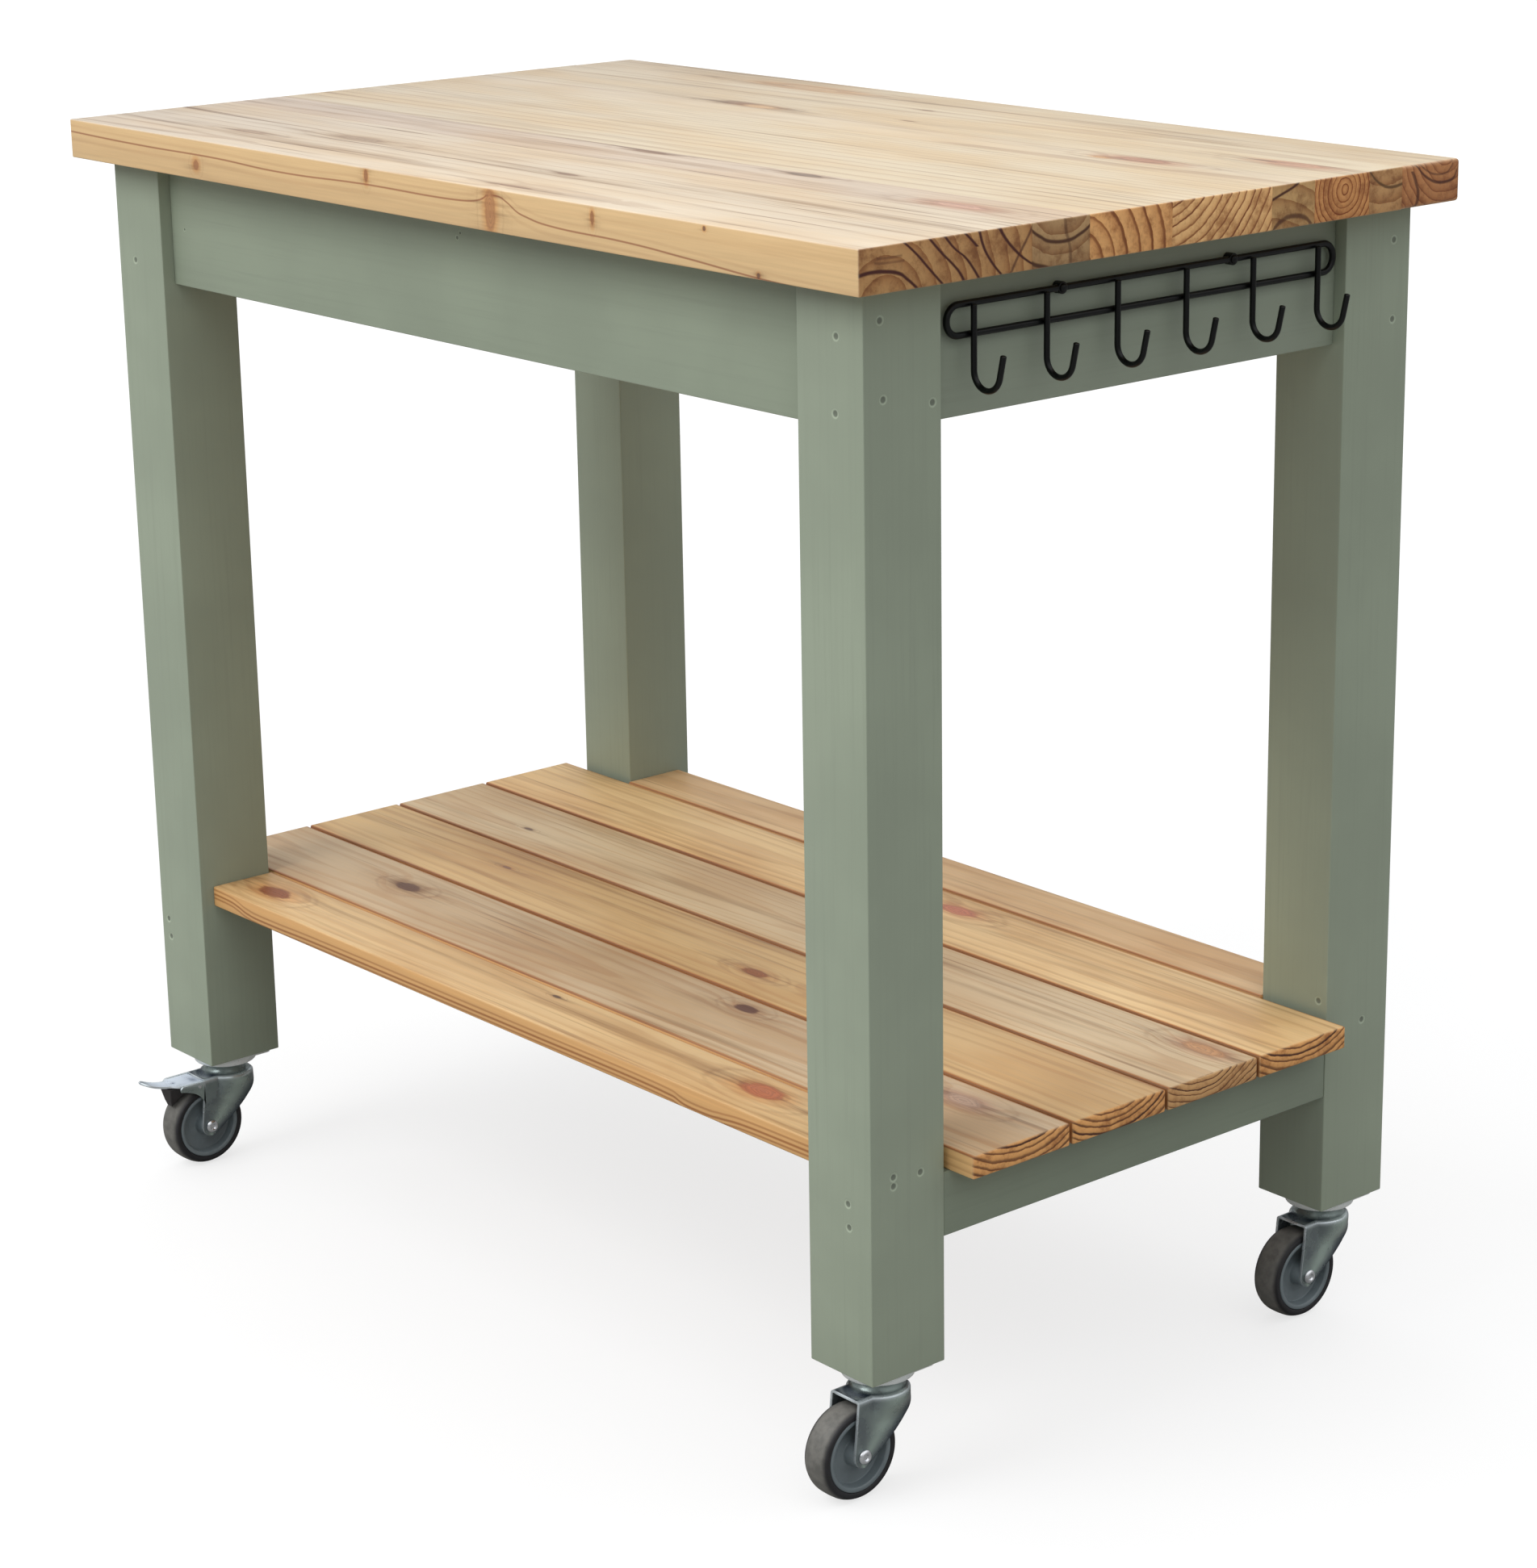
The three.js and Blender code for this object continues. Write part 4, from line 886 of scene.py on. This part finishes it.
def screw_head(number):
    """A fixing screw: its shank, and a head whose height over r is head * sqrt(1 - 0.9 r^2)."""
    front, head_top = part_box("hook_rail_loop")[1].x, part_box(f"rail_screw_{number}")[1].x
    head = head_top - front
    dome = [(r * HEAD_RADIUS, head * math.sqrt(1 - 0.9 * r * r)) for r in (1, 0.92, 0.75, 0.5, 0.25)]
    shank = [(0, -SHANK_LENGTH), (SHANK_RADIUS, -SHANK_LENGTH), (SHANK_RADIUS, 0)]
    points, faces = turned([*shank, (HEAD_RADIUS, 0), *dome, (0, head)], SCREW_SIDES)
    return points + [front, *screw_place(number)], faces


def wire_piece(name, shape, node_name):
    piece(name, shape, black_wire, "frame", [node_name])


wire_piece("rack_loop_wire", rack_loop(), "hook_rail_loop")
for number in range(1, 7):
    wire_piece(f"rack_hook_wire_{number}", rack_hook(number), f"rail_hook_{number}")
for number in (1, 2):
    wire_piece(f"rack_screw_head_{number}", screw_head(number), f"rail_screw_{number}")


# ---------- castors ----------
# drawn round the swivel axis in mm, zero at the leg's end, with the wheel trailing to -Y
AXLE_Y, AXLE_Z = -28, -63.5
CROWN_BOTTOM, CROWN_TOP, CROWN_ROUND = -20.5, -10.0, 23.0
CHEEK_MIDDLE, CHEEK_FRONT, CHEEK_COLUMNS = 14.8, 32.5, 48
FORK_SHEET, PEDAL_SHEET = 2.0, 1.6
CHEEK_TOE, TOE_END = 9.0, math.radians(305)
FOLD, EAR_ROUND = 2.2, 2.2
EAR_END, EAR_ROOT, EAR_TOP, EAR_ROWS, EAR_COLUMNS = -57, -32.6, -19.8, 8, 14
WHEEL_RADIUS, HUB_RADIUS, TYRE_HALF = 36.5, 29.5, 12.5
RACE_TOP, PLATE_TOP, PLATE_BOTTOM, PLATE_HALF = -2.8, -0.1, -3.0, 30
PEDAL_START, PEDAL_RIVET, PEDAL_TIP, PEDAL_TIP_RADIUS = 33.5, 56, 80.5, 8.5
PEDAL_HALF, PEDAL_MIDDLE, PEDAL_RISE, PEDAL_COLUMNS = 13.1, -20.66, 9.0, 17
PAD_WIDTH, PAD_TOP, PAD_START, PAD_GAP = 19, -21.6, -47.9, 3.2


def round_axle(profile, sides):
    """A profile turned round the axle. It is listed from one end to the other, or all round."""
    points, faces = turned(profile, sides)
    return points + [0, AXLE_Y, AXLE_Z], faces


def looped(corners, radius, steps):
    """An outline with round corners that comes back to its start."""
    outline = eased(corners, radius, steps)
    return np.vstack([outline, outline[:1]])


def tyre_shape():
    """Tread with a slight crown between round shoulders, turned round the axle. The mask tread is 1 on the
    tread."""
    side = [(HUB_RADIUS, 0.6), (HUB_RADIUS + 1.6, 0), (WHEEL_RADIUS - 3.0, 0), (WHEEL_RADIUS - 0.4, 4.5)]
    corners = [(r, inset - TYRE_HALF) for r, inset in side] + [(WHEEL_RADIUS, 0)]
    corners += [(r, TYRE_HALF - inset) for r, inset in side[::-1]]
    points, faces = round_axle(looped(corners, 3.2, 5), 96)
    radius = np.linalg.norm(points[:, 1:] - [AXLE_Y, AXLE_Z], axis=1)
    return points, faces, {"tread": np.clip((radius - WHEEL_RADIUS + 2.2) / 1.4, 0, 1)}


def hub_shape():
    """Hub with a rim lip, a dished web and a boss, turned round the axle."""
    side = [(3.2, 13.4), (9.0, 13.4), (10.2, 4.2), (16, 3.2), (24.4, 4.6), (25.6, 11.4), (27.2, 12.3),
            (29.4, 12.1)]
    return round_axle(looped([(r, -h) for r, h in side] + side[::-1], 0.9, 3), 80)


def axle_shape():
    """Axle bolt: a turned head with a shallow dish on the outside, and a nut's twin at the other end."""
    head = [(1.8, 17.6), (2.8, 19.0), (4.3, 18.9), (5.8, 17.5), (5.8, 15.9), (3, 15.9)]
    return round_axle(eased([(r, -h) for r, h in head] + head[::-1], 0.5, 3, False), 40)


def race_shape():
    """The fixed half of the swivel: the ball race under the plate and the king pin's riveted head."""
    profile = [(0, -23.3), (7.5, -23.3), (8.5, -21.6), (8.5, -20.8), (5, -20.8), (5, -9.7), (24, -9.7),
               (27.2, -8.6), (28, -6.5), (28, -3.6), (24.5, RACE_TOP), (0, RACE_TOP)]
    return turned(eased(profile, 0.8, 3, False), 64, axis_x=False)


def plate_shape():
    """The mounting plate: a square with round corners, 60 mm wide and 3 mm thick."""
    corners = np.array([(-1, -1), (1, -1), (1, 1), (-1, 1)]) * PLATE_HALF
    points, faces = slab(eased(corners, 5, 8), PLATE_BOTTOM, PLATE_TOP)
    return points[:, [1, 2, 0]], faces


def between(value, start, end):
    """How far a value has come from the start to the end, held from 0 to 1."""
    return np.clip((value - start) / (end - start), 0, 1)


def bent(*handles):
    """Points (y, z) along the Bezier curve of four handles, as two arrays sorted by rising z."""
    t = np.linspace(0, 1, 80)
    weights = np.stack([(1 - t) ** 3, 3 * t * (1 - t) ** 2, 3 * t ** 2 * (1 - t), t ** 3], 1)
    y, z = (weights @ np.array(handles, float)).T
    order = np.argsort(z)
    return y[order], z[order]


TOE_END_Y, TOE_END_Z = AXLE_Y + CHEEK_TOE * math.cos(TOE_END), AXLE_Z + CHEEK_TOE * math.sin(TOE_END)
BACK_CURVE = bent((TOE_END_Y, TOE_END_Z), (TOE_END_Y + 27.9, TOE_END_Z + 19.5), (24.0, -37.5), (18.5, -18.5))
EAR_CURVE = bent((EAR_END, -24.3), (-46, -26.5), (-33.5, -31.5), (-33.5, -42.5))


def cheek_grid():
    """The cheek on the +X side, row by row from its toe up. Its front edge is a straight line down to the
    toe's circle, and its back edge a Bezier curve. Near the top, x grows from the flat cheek to the crown's
    circle."""
    toe_angle = np.linspace(math.radians(268), math.radians(182), 10)
    z = np.concatenate([AXLE_Z + CHEEK_TOE * np.sin(toe_angle), np.linspace(AXLE_Z, CROWN_BOTTOM - 1.4, 30)])
    below = np.sqrt(np.clip(CHEEK_TOE ** 2 - (z - AXLE_Z) ** 2, 0.02, None))
    rise = between(z, AXLE_Z, CROWN_BOTTOM)
    front = np.where(z < AXLE_Z, AXLE_Y - below, (AXLE_Y - CHEEK_TOE) * (1 - rise) - CHEEK_FRONT * rise)
    back = np.where(z < TOE_END_Z, AXLE_Y + below, np.interp(z, BACK_CURVE[1], BACK_CURVE[0]))
    y = front[:, None] + (back - front)[:, None] * np.linspace(0, 1, CHEEK_COLUMNS)
    circle = np.sqrt(np.clip(CROWN_ROUND ** 2 - y ** 2, 0, None))
    flare = between(z, CROWN_BOTTOM - 22, CROWN_BOTTOM - 2)[:, None]
    flare = flare ** 2 * (3 - 2 * flare)
    x = CHEEK_MIDDLE + np.clip(circle - CHEEK_MIDDLE, 0, None) * flare
    closing = between(y, 10.0, 19.0) * flare
    x = x - (x - np.clip(circle, 6.0, None)) * closing * (circle < x)
    return np.stack([x, y, np.broadcast_to(z[:, None], y.shape)], -1)


def ear_grid():
    """The ear in front of a cheek: columns run in from its end, rows up from a Bezier curve to a level top
    that is rounded off at the end. Returns y, z and each row's share of the height."""
    y = np.linspace(EAR_END, EAR_ROOT, EAR_COLUMNS)
    order = np.argsort(EAR_CURVE[0])
    low = np.interp(y, EAR_CURVE[0][order], EAR_CURVE[1][order])
    tip = np.sqrt(np.clip(1 - (1 - between(y, EAR_END, EAR_END + EAR_ROUND)) ** 2, 0.05, 1))
    high = EAR_TOP - 2.4 * (1 - tip)
    rows = np.linspace(0, 1, EAR_ROWS)[:, None]
    z = low + (high - low) * rows
    return np.broadcast_to(y, z.shape), z, np.broadcast_to(rows, z.shape)


def fork_shape(braked):
    """One pressed sheet, folded over the crown: the cheek's grid, a round fold, the top with its raised dome
    and its dish in front of that, and the same mirrored. A braked fork has an ear in front of each cheek that
    carries the pedal's pin. Masks: rim is 1 on the sheet's edges, where highlights are painted; band is where
    a paler reflection is painted; and deep is where painted shade and dark reflection go, in the dish and
    where the cheek turns away at the back."""
    cheek = cheek_grid()
    edge_x, edge_y, edge_z = cheek[-1].T
    fold = [np.c_[edge_x - FOLD * (1 - math.cos(a)), edge_y, edge_z + FOLD * math.sin(a)]
            for a in np.radians([22, 45, 67, 90])]
    half = np.concatenate([cheek, np.array(fold)])
    top_x = np.linspace(1, -1, 43)[1:-1, None] * (edge_x - FOLD)
    top_y = np.broadcast_to(edge_y, top_x.shape)
    reach = np.hypot(top_x, top_y)
    dome = 1 / (1 + np.exp((reach - 17.0) / 1.2))
    dish = np.clip(1 - ((top_y + 26.5) / 6.0) ** 2, 0, 1) * np.clip(1 - (top_x / 12.6) ** 2, 0, 1)
    top_z = edge_z[0] + FOLD + (CROWN_TOP - FORK_SHEET / 2 - edge_z[0] - FOLD) * dome - 2.6 * dish
    grid = np.concatenate([half, np.stack([top_x, top_y, top_z], -1), half[::-1] * [-1, 1, 1]])
    shapes = [(grid.reshape(-1, 3), grid_faces(len(grid), CHEEK_COLUMNS)[:, ::-1].tolist())]
    across = np.linspace(0, 1, CHEEK_COLUMNS)
    # painted highlights on the sheet's edges (rim), a painted paler reflection across the cheek (band), and
    # painted shade and dark reflection where it turns away at the back (deep)
    rim = np.zeros(half.shape[:2])
    rim[-5:] = np.array([0.25, 0.7, 1, 0.7, 0.3])[:, None]
    band = np.exp(-((across - 0.55 - 0.12 * np.linspace(-1, 1, len(half))[:, None]) / 0.2) ** 2)
    deep = 0.75 * between(across, 0.78, 0.98) + 0 * rim
    # the top: painted highlights on the dish and round the crown's edge, a painted reflection in the dish,
    # and painted shade and dark reflection round the dome except at a highlight spot (shine)
    shine = np.exp(-((top_x - 8) / 5) ** 2 - ((top_y + 28) / 2.6) ** 2)
    top = {"rim": np.maximum(dish * 0.3, np.exp(-((reach - 29) / 2.0) ** 2) * 0.5), "band": 0.25 + 0.6 * dish,
           "deep": between(reach, 19, 22) * (1 - shine)}
    masks = {label: [np.concatenate([side, top[label], side[::-1]])]
             for label, side in (("rim", rim), ("band", band), ("deep", deep))}
    masks["rim"][0][:, 0] = 1
    if braked:
        y, z, rows = ear_grid()
        faces = grid_faces(EAR_ROWS, EAR_COLUMNS)
        for side in (-1, 1):
            ear = np.stack([np.full(z.shape, side * CHEEK_MIDDLE), y, z], -1)
            shapes.append((ear.reshape(-1, 3), (faces if side > 0 else faces[:, ::-1]).tolist()))
            # the ear: a painted highlight along its top edge and a painted reflection all over
            masks["rim"].append(np.clip(rows * 3 - 2, 0, 1))
            masks["band"].append(np.full(z.shape, 0.35))
            masks["deep"].append(np.zeros(z.shape))
    masks = {label: np.concatenate([part.ravel() for part in parts]) for label, parts in masks.items()}
    return *joined(*shapes), masks


def pedal_shape():
    """Pedal plate: rows run from the fork out to the tip, columns across. Its half width narrows from the
    ears to a round tip, which rises with the square of its way out, and its long edges turn up a little."""
    out = np.concatenate([
        np.linspace(PEDAL_START, PEDAL_RIVET, 12)[:-1], np.linspace(PEDAL_RIVET, PEDAL_TIP, 16)[:-1],
        PEDAL_TIP + PEDAL_TIP_RADIUS * np.sin(np.linspace(0, 1.5, 12))])[:, None]
    narrow = between(out, 55, 64)
    width = PEDAL_HALF - (PEDAL_HALF - PEDAL_TIP_RADIUS) * (3 * narrow ** 2 - 2 * narrow ** 3)
    round_tip = np.sqrt(np.clip(PEDAL_TIP_RADIUS ** 2 - (out - PEDAL_TIP) ** 2, 0.01, None))
    across = np.linspace(-1, 1, PEDAL_COLUMNS)
    x = np.where(out > PEDAL_TIP, round_tip, width) * across
    lip = 0.9 * between(out, 52, 64) * across ** 4
    z = PEDAL_MIDDLE + PEDAL_RISE * between(out, 57, 89) ** 2 + lip
    # painted shade and dark reflection (deep): a spot at the rivet and a smudge near the fork; painted
    # highlights on the long edges (rim), and a painted reflection that weakens towards the tip (band)
    rivet = np.exp(-(x / 1.7) ** 2 - ((out - PEDAL_RIVET) / 1.7) ** 2)
    shade = np.exp(-((out - 38) / 3.5) ** 2 - ((x - 4) / 6) ** 2)
    masks = {"rim": np.abs(across) ** 8 + 0 * x, "band": 0.95 - 0.8 * between(out, 77, 85) + 0 * x,
             "deep": np.clip(rivet + 0.7 * shade, 0, 1)}
    grid = np.stack([x, np.broadcast_to(-out, x.shape), z], -1)
    faces = grid_faces(len(out), PEDAL_COLUMNS).tolist()
    return grid.reshape(-1, 3), faces, {label: values.ravel() for label, values in masks.items()}


def pad_shape():
    """Brake pad: hangs under the pedal, its inner side an arc round the axle, narrower toward its foot:
    width = PAD_WIDTH (0.42 + 0.58 s), s running from 0 at the foot to 1 under the pedal."""
    y = np.linspace(PAD_START, PAD_START - 12.5, 8)
    inner = np.c_[y, AXLE_Z + np.sqrt((WHEEL_RADIUS + PAD_GAP) ** 2 - (y - AXLE_Y) ** 2)]
    outer = [(PAD_START - 14.5, PAD_TOP - 13), (PAD_START - 17, PAD_TOP)]
    outline = np.vstack([[(PAD_START, PAD_TOP)], inner, outer])
    points, faces = slab(outline[::-1], -PAD_WIDTH / 2, PAD_WIDTH / 2)
    foot = points[:, 2].min()
    points[:, 0] *= 0.42 + 0.58 * (points[:, 2] - foot) / (PAD_TOP - foot)
    return points, faces


def castor_places():
    """For each castor: its name, the swivel axis at the leg's end, its heading (1 or -1) and whether it's
    braked."""
    for key in ("front_right", "back_right", "front_left", "back_left"):
        castor = f"castor_{key}"
        swivel, spin = JOINT[f"{castor}_swivel_turn"], JOINT[f"{castor}_wheel_spin"]
        yield castor, np.array(swivel["pos_m"]), spin["axis"][0], f"{castor}_brake_press" in JOINT


def settle(shape, at, heading):
    """Moves a castor's shape from its own millimetres to its place, turned half round where it heads
    backwards."""
    points, *rest = shape
    return points * [heading, heading, 1] * MM + at, *rest


def finish_edges(made, rounding, sheet):
    """Gives a sheet its thickness, and rounds a piece's edges, both in mm."""
    if sheet:
        wall = made.modifiers.new("sheet", "SOLIDIFY")
        wall.thickness, wall.offset = sheet * MM, 0.0
    if rounding:
        bevel = made.modifiers.new("edges", "BEVEL")
        bevel.width, bevel.segments = rounding * MM, 2
        bevel.limit_method, bevel.angle_limit = "ANGLE", math.radians(40)


# a piece: its name, shape, finish, body, the node it replaces, slot, the rounding of its edges, and its sheet
for castor, at, heading, braked in castor_places():
    swivel, wheel, brake = f"{castor}_swivel", f"{castor}_wheel", f"{castor}_brake"
    castor_pieces = [
        ("race_ring", race_shape(), zinc_race_painted_light, "frame", ["plate"], "bright_steel", 0, 0),
        ("top_plate", plate_shape(), zinc_race_painted_light, "frame", [], "bright_steel", 0.5, 0),
        ("pressed_fork", fork_shape(braked), zinc_fork, swivel, ["fork"], "zinc", 0.35, FORK_SHEET),
        ("axle_bolt", axle_shape(), bright_steel, swivel, ["axle"], "bright_steel", 0, 0),
        ("rubber_tyre", tyre_shape(), tyre_grey, wheel, ["tyre"], "grey_rubber", 0, 0),
        ("nylon_hub", hub_shape(), hub_grey, wheel, ["hub"], "grey_nylon", 0, 0)]
    if braked:
        castor_pieces += [
            ("pressed_pedal", pedal_shape(), zinc_pedal_painted_light, brake, ["brake_pedal"], "zinc", 0.4, PEDAL_SHEET),
            ("rubber_pad", pad_shape(), pad_brown, brake, ["brake_pad"], "pad_rubber", 0.8, 0)]
        pin = frame["nodes"][f"{castor}_brake_pin"].data
        pin.materials.clear()
        pin.materials.append(bright_steel)
    for label, shape, finish, body, parts, slot, rounding, sheet in castor_pieces:
        made = piece(f"{castor}_{label}", settle(shape, at, heading), finish, body,
                     [f"{castor}_{part}" for part in parts])
        finish_edges(made, rounding, sheet)


# ---------- camera, floor and light ----------
AZIMUTH, ELEVATION, ROLL = math.radians(50.053), math.radians(16.768), math.radians(-0.975)
CAMERA_TARGET = np.array([41.217, 0.0, 403.997]) * MM
CAMERA_DISTANCE = 3219.206 * MM
FOCAL_PIXELS, PHOTO_HEIGHT, SENSOR = 4836.305, 1943, 36.0
FLOOR_RADIUS, FLOOR_SIDES, FLOOR_BOUNCE = 40, 64, (150, 150, 148)
SKY_HORIZON, SKY_ZENITH, SKY_SHOWN = 0.25, 1.5, 1.02
KEY_PLACE, KEY_TARGET, KEY_SIZE, KEY_POWER = (-0.6, -3.4, 3.4), (0, 0, 0.5), 2.5, 100


def make_camera():
    """A camera that looks at the target from the azimuth and elevation, rolled about its own line of
    sight."""
    level = np.array([math.cos(AZIMUTH), math.sin(AZIMUTH), 0.0])
    back = np.array([level[1] * math.cos(ELEVATION), -level[0] * math.cos(ELEVATION), math.sin(ELEVATION)])
    upright = np.cross(back, level)
    right = math.cos(ROLL) * level + math.sin(ROLL) * upright
    up = math.cos(ROLL) * upright - math.sin(ROLL) * level
    data = bpy.data.cameras.new("camera")
    data.sensor_width, data.sensor_fit = SENSOR, "AUTO"
    data.lens = FOCAL_PIXELS / PHOTO_HEIGHT * SENSOR
    camera = placed("camera", data)
    turn = Matrix(np.stack([right, up, back], 1).tolist())
    camera.matrix_world = Matrix.Translation(CAMERA_TARGET + back * CAMERA_DISTANCE) @ turn.to_4x4()
    bpy.context.scene.camera = camera


def make_key_light():
    data = bpy.data.lights.new("key", "AREA")
    data.shape, data.size, data.energy = "SQUARE", KEY_SIZE, KEY_POWER
    lamp = placed("key", data)
    lamp.location = KEY_PLACE
    lamp.rotation_euler = (Vector(KEY_TARGET) - Vector(KEY_PLACE)).to_track_quat("-Z", "Y").to_euler()


def pale_floor(place):
    """A grey floor that the camera sees turn white with its distance from the unit."""
    seen = mixed(ramped(noise(place, 1.5), 0.3, 0.7), srgb((128, 128, 128)), srgb((131, 131, 131)))
    direct = node(place.tree, "ShaderNodeLightPath", (), "Is Camera Ray")
    far = ramped(length(place), 0.8, 7.0, 0.72, 0.84)
    glow = mixed(far * direct, (0, 0, 0, 1), (1, 1, 1, 1))
    return {"Base Color": mixed(direct, srgb(FLOOR_BOUNCE), seen), "Emission Color": glow}


def make_floor():
    angle = np.arange(FLOOR_SIDES) * TAU / FLOOR_SIDES
    points = np.c_[FLOOR_RADIUS * np.cos(angle), FLOOR_RADIUS * np.sin(angle), np.zeros(FLOOR_SIDES)]
    mesh = bpy.data.meshes.new("floor")
    mesh.from_pydata(points.tolist(), [], [list(range(FLOOR_SIDES))])
    mesh.materials.append(material("pale_floor", pale_floor, Roughness=0.9, Emission_Strength=1.0))
    placed("floor", mesh)


def make_sky():
    """Soft light from all round, stronger from above. The camera sees it as a plain white backdrop."""
    world = bpy.data.worlds.new("studio")
    world.use_nodes = True
    tree = world.node_tree
    up = separated(node(tree, "ShaderNodeTexCoord", (), "Generated"))[2]
    strength = ramped(up, 0.0, 0.9, SKY_HORIZON, SKY_ZENITH)
    direct = node(tree, "ShaderNodeLightPath", (), "Is Camera Ray")
    shown = node(tree, "ShaderNodeMix", {0: direct, 2: strength, 3: SKY_SHOWN}, data_type="FLOAT")
    background = tree.nodes["Background"]
    background.inputs["Color"].default_value = (0.98, 0.99, 1.0, 1)
    tree.links.new(shown.socket, background.inputs["Strength"])
    bpy.context.scene.world = world


make_camera()
make_floor()
make_sky()
make_key_light()
bpy.context.scene.view_settings.view_transform = "Standard"
